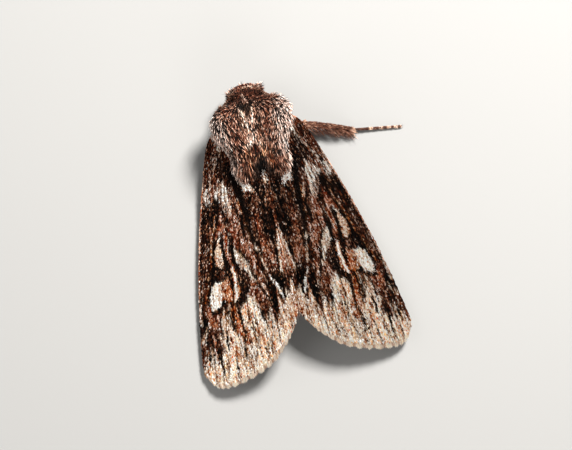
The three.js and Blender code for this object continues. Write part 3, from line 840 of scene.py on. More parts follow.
def kites(roots, along, normals, length, width, lift, fold):
    """Flat closed scales with a root, two shoulders and a tip."""
    across = unit(np.cross(along, normals))
    length, width, lift = columns(len(roots), length, width, lift)
    shoulder = roots + along * length * 0.62 + normals * (lift * 0.62 - fold)
    right = shoulder + across * width / 2
    left = shoulder - across * width / 2
    tip = roots + along * length + normals * lift
    return np.stack([roots, right, left, tip], axis=1)


def locks(roots, heading, normals, length, width, lift, curl):
    """Closed tapered blades that rise from the skin and bend back along it."""
    length, width, lift, curl = columns(len(roots), length, width, lift, curl)
    start = unit(heading * np.cos(lift) + normals * np.sin(lift))
    side = unit(np.cross(start, normals))
    rows = [roots]
    for share, wide in ((0.36, 1.0), (0.72, 0.72)):
        centre = roots + start * length * share - normals * curl * length * share**2
        rows.append(centre + side * width * wide / 2)
        rows.append(centre - side * width * wide / 2)
        rows.append(centre + normals * width * wide * 0.55)
    rows.append(roots + start * length - normals * curl * length)
    return np.stack(rows, axis=1)


# ---------------------------------------------------------------- wings


def along_surface(ways, normals):
    """Directions turned so that they lie in the surface."""
    return unit(ways - normals * np.sum(ways * normals, axis=-1, keepdims=True))


def flow_of(side, out, y, normals, sway):
    """The way that scales point at each place: along the wing, from base to outer edge."""
    b = SPREAD["base_y"] - y
    slant = out / half_spread(y) * (SPREAD["rate"] - 2 * SPREAD["bow"] * b)
    return along_surface(np.stack([side * slant + sway, -np.ones_like(y), 0 * y], axis=-1), normals)


FLAT_WING = {"front": 0.5, "length": 25.5, "breadth": 13.0}


def wing_uv(out, y):
    """A wing's surface laid flat."""
    back = SHOULDER_Y + FLAT_WING["front"] - y
    lie = np.hypot(out, roof_height(0 * out, y) - roof_height(out, y))
    return on_map(back / FLAT_WING["length"], lie / FLAT_WING["breadth"])


def rows_over(outline, step_along, step_out):
    """Scattered places in rows over a plan outline."""
    low, high = outline.min(axis=0), outline.max(axis=0)
    out, y = np.meshgrid(np.arange(low[0], high[0], step_out), np.arange(low[1], high[1], step_along))
    out = out + step_out * 0.5 * (np.arange(len(out)) % 2)[:, None]
    out = (out + chance.uniform(-0.35, 0.35, out.shape) * step_out).ravel()
    y = (y + chance.uniform(-0.35, 0.35, y.shape) * step_along).ravel()
    keep = inside(out, y, outline) & (out > MIDLINE + 0.01)
    return out[keep], y[keep]


def membrane(wing, colour, cells, depth, thick, inset):
    """A wing's thin closed sheet, its colours the same as its scales'."""
    select_only()
    bpy.ops.mesh.primitive_grid_add(x_subdivisions=cells[0], y_subdivisions=cells[1], size=1)
    sheet = bpy.context.object
    sheet.name = f"{wing.name}_sheet"
    grid = points_of(sheet.data) * MM + 0.5
    plan = plan_places(wing.edges, grid[:, 0], grid[:, 1] * (1 - inset))
    out, y = np.maximum(plan[:, 0], MIDLINE), plan[:, 1]
    put_points(sheet.data, surface_frame(wing.side, out, y, depth)[0])
    with editing():
        bpy.ops.mesh.normals_make_consistent(inside=False)
    if sum(face.normal.z for face in sheet.data.polygons) < 0:
        sheet.data.flip_normals()
    apply_modifier(sheet, "SOLIDIFY", thickness=thick * MM, offset=-1)
    at = points_of(sheet.data)
    set_tint(sheet.data, colour(np.abs(at[:, 0]), at[:, 1]))
    sheet.data.materials.append(wing.finish)
    bpy.ops.object.shade_smooth()
    return finish_piece(sheet, [wing.name])


def scale_layer(wing, part, colour, steps, depth, size, inset=0.035, under=False, grain=0.8):
    """Overlapping scales over one face of a wing. size: length, width, lift of the tip and fold."""
    out, y = rows_over(plan_outline(wing.edges, inset), *steps)
    places, normals = surface_frame(wing.side, out, y, depth)
    if under:
        normals = -normals
    along = flow_of(wing.side, out, y, normals, chance.normal(0, 0.16, len(out)))
    many = len(out)
    length = size[0] * chance.uniform(0.75, 1.25, many)
    width = size[1] * chance.uniform(0.8, 1.25, many)
    points = kites(places, along, normals, length, width, chance.uniform(0.3, 1.0, many) * size[2], size[3])
    tone = grained(colour(out, y), grain)
    # painted shade at the root, which lies under the scale before it, and a painted highlight at the raised
    # tip
    shaded_colours = shaded_kite_colours(tone, 0.7, 0.96, 1.08)
    finish = HIND_FINISH if under else wing.finish
    return coat_piece(
        f"{wing.name}_{part}", points, KITE_FACES, shaded_colours, wing_uv(out, y), KITE_UV, finish
    )


def hindwing_colour(out, y):
    """Pale greyish brown with dark veins and a darker outer band."""
    edge = ease(-7.5, -10.5, y + 0.12 * out)
    colour = mix(rgb("#b59e90"), rgb("#7d6558"), 0.8 * edge)
    colour = mix(colour, rgb("#594438"), 0.6 * ease(0.6, 0.95, 1 - vein_share(out, y)))
    return mix(colour, rgb("#d6c5b8"), 0.5 * ease(0.55, 0.8, noise(out * 6, y * 3, 31)))


UNDERSIDE_SPOT = [(rgb("#4b362c"), 0.3, 0.8, [(13.8, 6.6, 0.4), (14.2, 7.4, 0.4)])]


def underside_colour(out, y):
    """Greyish brown below, paler along the front edge, with a faint dark spot."""
    near_front = ease(1.6, 0.3, half_spread(y) - out)
    colour = mix(rgb("#8f7668"), rgb("#bfa696"), near_front)
    colour = mix(colour, rgb("#5c473c"), 0.5 * noise(out * 4, y * 2, 33))
    return stroked(colour, SHOULDER_Y - y, out, UNDERSIDE_SPOT)


FRINGE = {"count": 5200, "length": 0.62, "width": 0.085, "root": 0.036}


def vein_wave(across):
    """Between -1 and 1, highest on the veins of a wing's outer edge."""
    return np.cos(across * VEINS * 2 * math.pi)


def fringe(wing, colour, depth, settings):
    """Long scales that stand out from a wing's outer edge, in pale and dark bars."""
    many = settings["count"]
    across = np.sort(chance.uniform(0.0, 1.0, many))
    depth_in = chance.uniform(0.0, 1.0, many)
    along = 1 - settings["root"] * (1 + 0.6 * depth_in)
    here = plan_places(wing.edges, across, along)
    ahead = plan_places(wing.edges, across, along + 0.01)
    out, y = np.maximum(here[:, 0], MIDLINE + 0.03), here[:, 1]
    places, normals = surface_frame(wing.side, out, y, depth)
    way = ahead - here
    heading = np.stack([wing.side * way[:, 0], way[:, 1], 0 * y], axis=-1)
    heading[:, 0] += chance.normal(0, 0.05, many) * np.abs(way[:, 1])
    length = settings["length"] * chance.uniform(0.75, 1.2, many) * (1 - 0.12 * vein_wave(across))
    lift = 0.06 * chance.uniform(0, 1, many)
    width = settings["width"] * chance.uniform(0.7, 1.2, many)
    points = kites(places, along_surface(heading, normals), normals, length, width, lift, 0.012)
    # painted shade at the root of each fringe scale and a painted highlight at its tip
    shaded_colours = shaded_kite_colours(grained(colour(out, y, across, depth_in), 0.25), 0.72, 0.95, 1.12)
    return coat_piece(
        f"{wing.name}_fringe", points, KITE_FACES, shaded_colours, wing_uv(out, y), KITE_UV, wing.finish
    )


def forewing_fringe_colour(out, y, across, depth_in):
    """Paler than the wing beside it, with brown bars on the veins."""
    ground = forewing_colour(out, y + 0.6)
    bar = ease(0.35, 0.8, vein_wave(across) + 0.6 * swing(across * 40, depth_in * 2, 41))
    return mix(mix(ground, rgb("#ecd9c6"), 0.7), rgb("#8a6350"), 0.55 * bar)


def hindwing_fringe_colour(_out, _y, across, depth_in):
    """Pale, with browner bars here and there."""
    return mix(rgb("#cbb8a8"), rgb("#8a7263"), ease(0.5, 0.9, noise(across * 30, depth_in * 2, 43)))


# length, width, lift of the tip and fold of one scale
UPPER_SCALE = (0.33, 0.14, 0.08, 0.02)
UNDER_SCALE = (0.3, 0.15, 0.04, 0.012)
HIND_SCALE = (0.32, 0.14, 0.05, 0.012)

for word, side in SIDES:
    fore = SimpleNamespace(
        name=f"forewing_{word}", side=side, edges=FOREWING, finish=SCALE_FINISH, slot="forewing_scales"
    )
    membrane(fore, forewing_colour, (70, 180), depth=0.14, thick=0.1, inset=0.035)
    scale_layer(fore, "scales", forewing_colour, (0.1, 0.085), 0.13, UPPER_SCALE, grain=0.85)
    scale_layer(fore, "under_scales", underside_colour, (0.13, 0.11), 0.25, UNDER_SCALE, under=True)
    fringe(fore, forewing_fringe_colour, 0.14, FRINGE)
    hind = SimpleNamespace(
        name=f"hindwing_{word}", side=side, edges=HINDWING, finish=HIND_FINISH, slot="hindwing_scales"
    )
    membrane(hind, hindwing_colour, (40, 90), depth=0.75, thick=0.08, inset=0.04)
    scale_layer(hind, "scales", hindwing_colour, (0.14, 0.12), 0.74, HIND_SCALE, inset=0.04)
    scale_layer(hind, "under_scales", hindwing_colour, (0.14, 0.12), 0.84, HIND_SCALE, inset=0.04, under=True)
    fringe(hind, hindwing_fringe_colour, 0.76, dict(FRINGE, count=2600, root=0.05, length=0.7))

# ---------------------------------------------------------------- body skin

SKIN_NODES = [
    "head", "collar", "thorax", "crest", "tegula_left", "tegula_right", "abdomen", "tail_tuft",
    "palp_left", "palp_right",
]
AXIS = {"z": 3.0, "tail_y": -9.5, "length": 25.0}  # what the skin is unrolled round
SKIN = {"grow": 0.1, "voxel": 0.13, "smooth": 8}  # swelling and voxel in millimetres, rounds of smoothing


def node_copy(name):
    """A loose copy of a node's mesh, its doubles merged."""
    mesh = NODES[name].data.copy()
    mesh.materials.clear()
    copy = bpy.data.objects.new(name + "_copy", mesh)
    bpy.context.collection.objects.link(copy)
    select_only(copy)
    with editing():
        bpy.ops.mesh.remove_doubles(threshold=0.002 * MM)
    return copy


def coat_depth(x, y, z):
    """How deep the coat lies over the skin."""
    flank = ease(2.0, 3.4, np.abs(x)) * ease(9.6, 7.8, y)
    shoulder = ease(2.2, 3.2, np.abs(x)) * ease(10.8, 11.8, y) * ease(3.0, 4.0, z)
    depth = 0.5 + 0.15 * flank - 0.25 * shoulder
    depth = np.where(y > 13.3, 0.35, depth)
    depth = np.where((y > 13.2) & (z < 2.0), 0.16, depth)
    depth = np.where(y < 5.2, 0.5, depth)
    return np.where(y < -6.4, 0.7, depth)


def add_skin():
    """One skin over head, thorax and abdomen, drawn in by the depth of the coat."""
    skin = joined([node_copy(name) for name in SKIN_NODES], "body_skin")
    apply_modifier(skin, "DISPLACE", strength=SKIN["grow"] * MM, mid_level=0)
    apply_modifier(skin, "REMESH", mode="VOXEL", voxel_size=SKIN["voxel"] * MM, use_smooth_shade=True)
    apply_modifier(skin, "SMOOTH", factor=0.6, iterations=SKIN["smooth"])
    at = points_of(skin.data)
    put_points(skin.data, at - normals_of(skin.data) * (coat_depth(*at.T) + SKIN["grow"])[:, None])
    apply_modifier(skin, "SMOOTH", factor=0.5, iterations=3)
    at = points_of(skin.data)
    # the skin takes the coat's colour darkened far, painted shade under the coat
    set_tint(skin.data, shaded_undercoat_colour(*at.T))
    skin.data.materials.append(SKIN_FINISH)
    return finish_piece(skin, SKIN_NODES)


# Rows of strokes on head and thorax: back from the same line as on the wings, out from the body's middle.
BODY_MARKS = [
    (rgb("#ad958a"), 0.6, 0.9, [(-2.4, 3.6, 0.8), (0.0, 3.1, 1.0), (2.4, 2.8, 0.6)]),
    (rgb("#a68e83"), 0.5, 0.7, [(-2.2, 4.4, 0.3), (-0.5, 4.7, 0.4)]),
    (rgb("#5b3a2d"), 0.5, 0.9, [(-2.6, 1.9, 0.6), (-0.8, 1.5, 0.5), (1.4, 1.7, 0.4)]),
    (rgb("#3f241a"), 0.35, 0.9, [(-4.3, 0.0, 0.6), (-3.5, 1.6, 0.6), (-2.9, 3.1, 0.35)]),
    (JET, 0.2, 0.8, [(-3.5, 0.35, 0.15), (-2.9, 0.6, 0.2), (-2.5, 0.3, 0.2)]),
    (JET, 0.15, 0.75, [(-2.6, 0.0, 0.25), (-1.4, 0.0, 0.06)]),
    (JET, 0.2, 0.6, [(-2.6, 1.15, 0.15), (-1.0, 0.85, 0.1), (-0.2, 0.8, 0.06)]),
    (rgb("#dfc8b6"), 0.13, 0.9, [(-2.5, 0.66, 0.14), (-1.8, 0.44, 0.16), (-1.0, 0.2, 0.14)]),
    (rgb("#cbb0a0"), 0.2, 0.9, [(-1.2, 0.0, 0.2), (0.1, 0.05, 0.42), (0.8, 0.3, 0.36)]),
    (rgb("#dcc3b2"), 0.15, 0.9, [(0.9, 0.1, 0.14), (1.2, 0.6, 0.18), (1.8, 0.9, 0.14)]),
    (PEAT, 0.15, 0.95, [(1.0, 0.0, 0.2), (1.5, 0.0, 0.45), (1.9, 0.0, 0.3)]),
    (rgb("#80563a"), 0.2, 0.75, [(1.2, 0.75, 0.15), (2.0, 0.8, 0.25), (2.9, 0.95, 0.25)]),
    (rgb("#9a673f"), 0.14, 0.75, [(1.8, 1.05, 0.1), (2.1, 0.5, 0.16), (2.4, 0.1, 0.18)]),
    (PEAT, 0.1, 0.85, [(2.1, 1.1, 0.05), (2.45, 0.55, 0.09), (2.8, 0.1, 0.1)]),
    (rgb("#5a3826"), 0.3, 0.8, [(1.9, 1.4, 0.3), (3.6, 1.4, 0.4)]),
    (rgb("#3a2017"), 0.12, 0.8, [(1.6, 0.7, 0.1), (2.8, 1.3, 0.12), (4.0, 1.9, 0.08)]),
    (rgb("#4c3026"), 0.4, 0.75, [(2.6, 1.9, 0.4), (3.8, 1.7, 0.4)]),
    (rgb("#b39d92"), 0.25, 0.8, [(1.4, 3.2, 0.3), (2.8, 2.9, 0.3), (4.0, 2.6, 0.25)]),
    (JET, 0.2, 0.85, [(2.3, 0.0, 0.06), (2.8, 0.3, 0.12), (3.4, 0.2, 0.5), (4.0, 0.3, 0.7)]),
    (SAND, 0.12, 0.8, [(-4.1, 0.1, 0.08), (-3.4, 0.12, 0.12)]),
    (CREAM, 0.12, 0.9, [(0.35, 3.9, 0.2), (0.8, 3.8, 0.15)]),
]
HEAD_BACK = -2.9  # where the head ends, as back of the shoulder line


def body_colour(x, y, z):
    """Colour of the coat of head, thorax and abdomen."""
    out, back = np.abs(x + 0.22 * ease(6.5, 8.5, y)), SHOULDER_Y - y
    b = back + 0.3 * swing(x * 2.0 + 40, y * 2.0, 51)
    o = out + 0.3 * swing(x * 2.0 + 40, y * 2.0, 52)
    colour = mix(rgb("#71503f"), rgb("#876453"), noise(x * 1.4 + 30, y * 1.4, 53))
    colour = mix(colour, rgb("#54342a"), ease(HEAD_BACK, HEAD_BACK - 0.6, back))
    colour = stroked(colour, b, o, BODY_MARKS)
    # pale bar on the brow, right of the middle, with dark behind it
    brow = ease(3.2, 3.6, z)
    bar = stroke(b, np.abs(x - 0.35), [(-4.68, 0.0, 0.12), (-4.62, 0.55, 0.06)], 0.1)
    colour = mix(colour, rgb("#dcbfa8"), 0.75 * brow * bar)
    colour = mix(colour, JET, 0.6 * brow * stroke(b, o, [(-4.3, 0.2, 0.05), (-4.2, 1.2, 0.1)], 0.1))
    below = ease(0.2, -0.6, z - (2.2 + 0.12 * y))
    colour = mix(colour, rgb("#9c7a6b"), below)
    rear = ease(4.4, 2.6, y)
    belly = mix(rgb("#8e6f60"), rgb("#b79b8b"), noise(x * 2 + 30, y * 1.2, 55))
    return mix(colour, belly, rear)


def shaded_undercoat_colour(x, y, z):
    """Colour of the skin and the underfur: the coat's colour darkened far, as painted shade under the coat.
    """
    return body_colour(x, y, z) * 0.35


def shaded_underfur_tips(x, y, z):
    """Colour at the tips of the underfur: the coat's colour darkened, as painted shade under the long hair.
    """
    return body_colour(x, y, z) * 0.6


def pale_tips(x, _y, _z):
    """Colour at the tips of the long hair, palest at the sides."""
    return mix(rgb("#b89a8b"), rgb("#e6d6cc"), ease(1.5, 4.0, np.abs(x)))


def skin_samples(mesh, weight, count):
    """Random places on a mesh with their normals, thicker where weight is greater."""
    mesh.calc_loop_triangles()
    corners = np.empty(len(mesh.loop_triangles) * 3, np.int32)
    mesh.loop_triangles.foreach_get("vertices", corners)
    corners = corners.reshape(-1, 3)
    at, normal = points_of(mesh), normals_of(mesh)
    a, b, c = (at[corners[:, i]] for i in range(3))
    centre = (a + b + c) / 3
    area = np.linalg.norm(np.cross(b - a, c - a), axis=1) * weight(*centre.T)
    chosen = chance.choice(len(area), size=count, p=area / area.sum())
    r, s = np.sqrt(chance.uniform(0, 1, count)), chance.uniform(0, 1, count)
    parts = np.stack([1 - r, r * (1 - s), r * s], axis=1)[..., None]
    places = np.sum(at[corners[chosen]] * parts, axis=1)
    normals = unit(np.sum(normal[corners[chosen]] * parts, axis=1))
    return places, normals


def body_uv(places):
    """The skin unrolled round the body's length."""
    x, y, z = places.T
    turn = np.arctan2(x, z - AXIS["z"]) / (2 * math.pi) + 0.5
    return on_map(np.clip((y - AXIS["tail_y"]) / AXIS["length"], 0, 1), turn)


def at_places(setting, x, y, z):
    """What a setting is at each place, whether it is a number or a function of the place."""
    return setting(x, y, z) if callable(setting) else setting


def fur(
    name, skin, weight, count, flow, size, lift, curl, colour, tips,
    dark=0.42, stray=0.16, bright=1.1, hold=0.85,
):
    """A coat of tapered locks.

    weight: how thickly they grow, flow: which way they lie, size: their length and width,
    lift: how steeply they rise, stray: how far they stray from the flow, hold: how closely they hug the skin,
    dark: the share of dark locks, partly dark hairs and partly painted shade between locks, bright: how much
    brighter than colour the others are.
    """
    places, normals = skin_samples(skin, weight, count)
    x, y, z = places.T
    way = flow(x, y, z)
    clump = np.stack([swing(x * 2.2 + 9, y * 2.2 + z, seed) for seed in (61, 62, 63)], axis=1)
    sway = np.broadcast_to(at_places(stray, x, y, z), count)[:, None]
    way = unit(way) + 0.4 * clump + chance.normal(0, 1, (count, 3)) * sway
    lean = np.sum(way * normals, axis=1, keepdims=True)
    way = unit(way - hold * np.where(lean > 0, 0.6, 1.0) * lean * normals)
    spread = chance.uniform(0.6, 1.2, count)
    long, wide = size(x, y, z)
    length, width = long * spread, wide * chance.uniform(0.7, 1.25, count)
    rise = at_places(lift, x, y, z) * chance.uniform(0.6, 1.3, count)
    sink = np.minimum(0.06, 0.12 * length)[:, None]
    points = locks(places - normals * sink, way, normals, length, width, rise, curl)
    middle = places + way * length[:, None] * 0.55
    tone = colour(*middle.T)
    clear = 1 - 0.7 * ease(0.66, 0.8, np.mean(tone, axis=1))
    # dark locks: partly the coat's own dark hairs, partly painted shade standing for the gaps between locks
    dim = np.where(chance.uniform(0, 1, count) < dark * clear, 0.15, bright)[:, None]
    tone = grained(tone, 0.42)
    clean = 0.2 + 0.8 * ease(0.15, 0.4, np.mean(tone, axis=1))
    pale = mix(tone, tips(x, y, z), chance.uniform(0.0, 0.8, count) * clean) * dim
    tone = tone * dim
    # painted shade: root and lower ring darkened where the lock lies deep in the coat, partly also the hair's
    # own darker base
    shaded_colours = shaded_lock_colours(tone * 0.12, tone * 0.5, mix(tone, pale, np.full(count, 0.6)), pale)
    return coat_piece(name, points, LOCK_FACES, shaded_colours, body_uv(places), LOCK_UV, FUR_FINISH)


def thorax_flow(x, y, _z):
    """Strands part at the collar, spread over the shoulders and draw together behind."""
    side = np.sign(x)
    out = np.abs(x)
    spread = 0.9 * ease(11.8, 12.5, y) * ease(0.2, 2.0, out) * (1 - 0.7 * ease(12.6, 13.0, y))
    inward = 0.6 * ease(12.2, 10.8, y) * ease(0.5, 1.6, out) * (1 - 0.95 * ease(2.4, 3.2, out))
    spread = spread - inward * (1 - 0.9 * ease(9.0, 7.0, y) * ease(0.8, 1.4, out))
    spread = spread + 0.3 * ease(8.4, 7.0, y) * ease(0.9, 1.8, out)
    return np.stack([side * spread, -np.ones_like(x), -0.25 * ease(2.5, 4.5, out)], axis=1)


def head_flow(x, y, z):
    """Hair stands up and forward on the brow, lies down the face and points along the palps."""
    forward = ease(12.9, 13.7, y)
    tuft = ease(0.9, 1.3, np.abs(x)) * ease(13.35, 13.65, y) * ease(3.0, 3.6, z)
    down = 0.5 - 1.4 * ease(4.2, 3.2, z)
    return np.stack([(0.5 + 1.3 * tuft) * x, -0.4 + (1.3 - 0.9 * tuft) * forward, down], axis=1)


def head_size(x, y, z):
    """Longest in the two tufts at the front corners of the brow, shortest low on the face."""
    corner = ease(0.9, 1.3, np.abs(x)) * ease(3.0, 3.6, z)
    tuft = (0.22 + 0.08 * np.sign(x)) * corner * ease(13.35, 13.65, y)
    length = 0.52 + tuft - 0.1 * corner * ease(13.4, 13.1, y)
    length = length - 0.14 * ease(3.4, 2.6, z) + 0.18 * ease(2.75, 2.5, z) * ease(2.2, 2.3, z)
    return length - 0.08 * ease(2.2, 1.6, z), 0.056 - 0.012 * ease(3.6, 2.2, z)


def abdomen_flow(x, y, z):
    """Hair lies backwards, and downwards where the abdomen begins below."""
    front = ease(4.3, 4.8, y) * ease(3.0, 2.6, z)
    return np.stack([0.12 * x, -1 + 0.7 * front, -0.1 - 0.9 * front], axis=1)


def head_lift(_x, _y, z):
    """Hair stands up on the brow and lies flatter on the face."""
    return 0.75 - 0.3 * ease(3.8, 2.8, z)


def head_stray(x, _y, z):
    """Tangled on top of the head, smooth in its corner tufts."""
    return 0.14 + 0.32 * ease(3.2, 4.2, z) * (1 - 0.7 * ease(0.8, 1.2, np.abs(x)))


def head_colour(x, y, z):
    """Darker than the thorax, darkest in the corner tufts."""
    return body_colour(x, y, z) * (0.8 - 0.3 * ease(0.8, 1.3, np.abs(x)) * ease(3.0, 3.6, z))[:, None]


def thorax_size(x, y, _z):
    """Length and width of the strands: shortest at the collar, longest on the two rear lobes."""
    rear = ease(7.8, 6.2, y)
    length = 0.95 + 0.32 * rear + 0.24 * rear * ease(1.0, 1.8, np.abs(x)) - 0.25 * ease(11.0, 12.0, y)
    # the right shoulder is a little ruffled
    length = length + 0.32 * ease(1.2, 2.0, x) * ease(11.2, 12.2, y)
    return length - 0.3 * ease(12.2, 12.8, y), 0.078 + 0.005 * rear


def fine_size(x, y, z):
    """The fine strands are a little longer than the others and narrower."""
    return thorax_size(x, y, z)[0] * 1.05, 0.058


def thorax_lift(x, y, _z):
    """Strands stand up on the shoulders and at the collar, and lie flatter behind."""
    shoulders = 0.15 * ease(11.0, 12.0, y) * ease(1.8, 2.8, np.abs(x))
    ruffled = 0.2 * ease(11.4, 12.2, y) * ease(1.2, 2.0, x)
    return 0.55 - 0.15 * ease(9.5, 7.5, y) + shoulders + ruffled + 0.3 * ease(12.3, 12.7, y)


def fine_lift(_x, y, _z):
    """The fine strands rise most at the collar."""
    return 0.56 - 0.12 * ease(9.5, 7.5, y) + 0.3 * ease(12.3, 12.7, y)


def underfur_size(_x, y, _z):
    """Short and broad, shortest where the thorax ends."""
    return 0.6 - 0.15 * ease(6.8, 6.2, y), 0.1


def abdomen_size(_x, y, _z):
    """Longest and narrowest in the tail tuft."""
    tail = ease(-4.5, -7.0, y)
    return 0.9 + 0.6 * tail, 0.085 - 0.02 * tail


def abdomen_lift(_x, y, _z):
    """Hair lies flat in the tail tuft."""
    return 0.38 - 0.22 * ease(-5.5, -7.5, y)


def abdomen_stray(_x, y, _z):
    """Hair is smooth in the tail tuft."""
    return 0.14 - 0.08 * ease(-5.0, -7.0, y)


def thorax_part(x, y, z):
    """Where long strands grow: not in the gap between the two rear lobes, nor beside their ends."""
    bare = (np.abs(x) < 0.45 * (7.7 - y)) & (z > 3.4)
    bare |= (np.abs(x) > 2.6) & (y < 6.4)
    return underfur_part(x, y, z) * ~bare


def underfur_part(_x, y, z):
    """Underfur grows over the whole thorax, thinner below."""
    return ((y > 4.6) & (y < 13.2)).astype(float) * np.where(z > 2.0, 1.0, 0.4)


def head_part(x, y, z):
    """Hair grows over the whole head, thickest in its two front corners."""
    tuft = ease(0.9, 1.2, np.abs(x)) * ease(3.0, 3.4, z) * ease(13.1, 13.4, y)
    return (y >= 12.9).astype(float) * (1 + 1.3 * tuft)


def abdomen_part(_x, y, z):
    """Hair grows over the abdomen and below where it begins, thickest there and in the tail tuft."""
    front = (y > 4.4) & (y < 6.4) & (z < 2.8)
    return ((y <= 5.0) | front).astype(float) * np.where((y < -5.5) | front, 2.2, 1.0)


skin = add_skin().data
# the underfur in the coat's colour darkened, painted shade under the long hair
fur(
    "thorax_underfur", skin, underfur_part, 11000, thorax_flow, underfur_size, 0.6, 0.25,
    shaded_undercoat_colour, shaded_underfur_tips,
)
fur(
    "thorax_fur", skin, thorax_part, 14500, thorax_flow, thorax_size, thorax_lift, 0.2,
    body_colour, pale_tips, dark=0.5, stray=0.1, bright=1.15,
)
fur(
    "thorax_fine_fur", skin, thorax_part, 14500, thorax_flow, fine_size, fine_lift, 0.2,
    body_colour, pale_tips, dark=0.54, stray=0.12, bright=1.32,
)
fur(
    "head_fur", skin, head_part, 13000, head_flow, head_size, head_lift, 0.4,
    head_colour, pale_tips, dark=0.55, stray=head_stray, bright=1.6,
)
fur(
    "abdomen_fur", skin, abdomen_part, 12000, abdomen_flow, abdomen_size, abdomen_lift, 0.2,
    body_colour, pale_tips, dark=0.25, stray=abdomen_stray, hold=0.5,
)

# ---------------------------------------------------------------- eyes

EYE = {"place": (1.22, 13.05, 2.75), "radius": 0.79, "narrow": 0.98}
EYE_LOOK = {"Roughness": 0.22, "Specular IOR Level": 0.2, "Coat Weight": 0.12, "Coat Roughness": 0.06}


def eye_material():
    """Deep brown, glassy, with a paler mottle."""
    paint, nodes, links, shader = new_material("eye_glass", EYE_LOOK)
    place, mottle = nodes.new("ShaderNodeTexCoord"), nodes.new("ShaderNodeTexNoise")
    mottle.inputs["Scale"].default_value = 2400
    tones = nodes.new("ShaderNodeValToRGB")
    for stop, position, colour in zip(
        tones.color_ramp.elements, (0.38, 0.7), ((0.006, 0.004, 0.003, 1), (0.05, 0.026, 0.014, 1))
    ):
        stop.position, stop.color = position, colour
    links.new(place.outputs["Object"], mottle.inputs["Vector"])
    links.new(mottle.outputs["Fac"], tones.inputs["Fac"])
    links.new(tones.outputs["Color"], shader.inputs["Base Color"])
    return paint


EYE_FINISH = eye_material()


def add_eye(word, side):
    """A faceted eye."""
    select_only()
    bpy.ops.mesh.primitive_ico_sphere_add(subdivisions=4, radius=EYE["radius"] * MM)
    eye = bpy.context.object
    eye.name = f"eye_{word}_facets"
    with editing():
        bpy.ops.mesh.bevel(offset_type="PERCENT", offset_pct=100 / 3, affect="VERTICES")
        bpy.ops.mesh.select_all(action="SELECT")
        bpy.ops.mesh.inset(thickness=0.009 * MM, depth=0.005 * MM, use_individual=True)
    place = np.array(EYE["place"]) * np.array([side, 1, 1])
    put_points(eye.data, points_of(eye.data) * np.array([EYE["narrow"], 1, 1]) + place)
    eye.data.materials.append(EYE_FINISH)
    return finish_piece(eye, [f"eye_{word}"])


for word, side in SIDES:
    add_eye(word, side)

# ---------------------------------------------------------------- feelers

FEELER = {"half": 0.15, "tip": 0.07, "segments": 64, "swell": 1.12, "tooth": 0.3, "scales": 1500}
FEELER_ROUTE = [
    (0.7, 14.2, 4.3), (1.5, 13.75, 3.85), (2.15, 13.0, 3.5), (3.3, 11.6, 2.95),
    (4.4, 9.3, 2.35), (4.7, 6.8, 2.0), (4.75, 4.4, 1.6),
]
# a bead: three rings of eight points, then the middles of its two ends
RING = 8
BEAD_TURNS = [(i, (i + 1) % RING) for i in range(RING)]
BEAD_FACES = []
for low in (0, RING):
    BEAD_FACES += [(low + i, low + j, low + RING + j) for i, j in BEAD_TURNS]
    BEAD_FACES += [(low + i, low + RING + j, low + RING + i) for i, j in BEAD_TURNS]
BEAD_FACES += [(3 * RING, j, i) for i, j in BEAD_TURNS]
BEAD_FACES += [(3 * RING + 1, 2 * RING + i, 2 * RING + j) for i, j in BEAD_TURNS]
BEAD_FACES = np.array(BEAD_FACES)
BEAD_UV = np.array([(r, i / RING) for r in (0, 0.5, 1) for i in range(RING)] + [(0, 0.5), (1, 0.5)]) * PATCH


def rods(starts, ends, starts_half, ends_half):
    """Closed eight-sided beads, a little swollen in the middle."""
    along = unit(ends - starts)
    helper = np.where(np.abs(along[:, 2:3]) > 0.9, np.array([[1.0, 0, 0]]), np.array([[0, 0, 1.0]]))
    side = unit(np.cross(along, helper))
    top = np.cross(side, along)
    turn = np.arange(RING) / RING * 2 * math.pi
    rounds = side[:, None] * np.cos(turn)[None, :, None] + top[:, None] * np.sin(turn)[None, :, None]
    halves = (starts_half, (starts_half + ends_half) / 2 * FEELER["swell"], ends_half)
    rings = [
        (starts + (ends - starts) * share)[:, None] + rounds * half[:, None, None]
        for share, half in zip((0.04, 0.5, 0.96), halves)
    ]
    return np.concatenate(rings + [starts[:, None], ends[:, None]], axis=1)


def feeler_coat(name, points, faces, tone, uv, corners_uv, root=1.0):
    """One part of a feeler, each of its shapes in one colour. root: how dark the first ring of points is."""
    colours = np.repeat(tone[:, None], points.shape[1], axis=1)
    colours[:, :RING] *= root
    return coat_piece(name, points, faces, colours, uv, corners_uv, FEELER_FINISH)


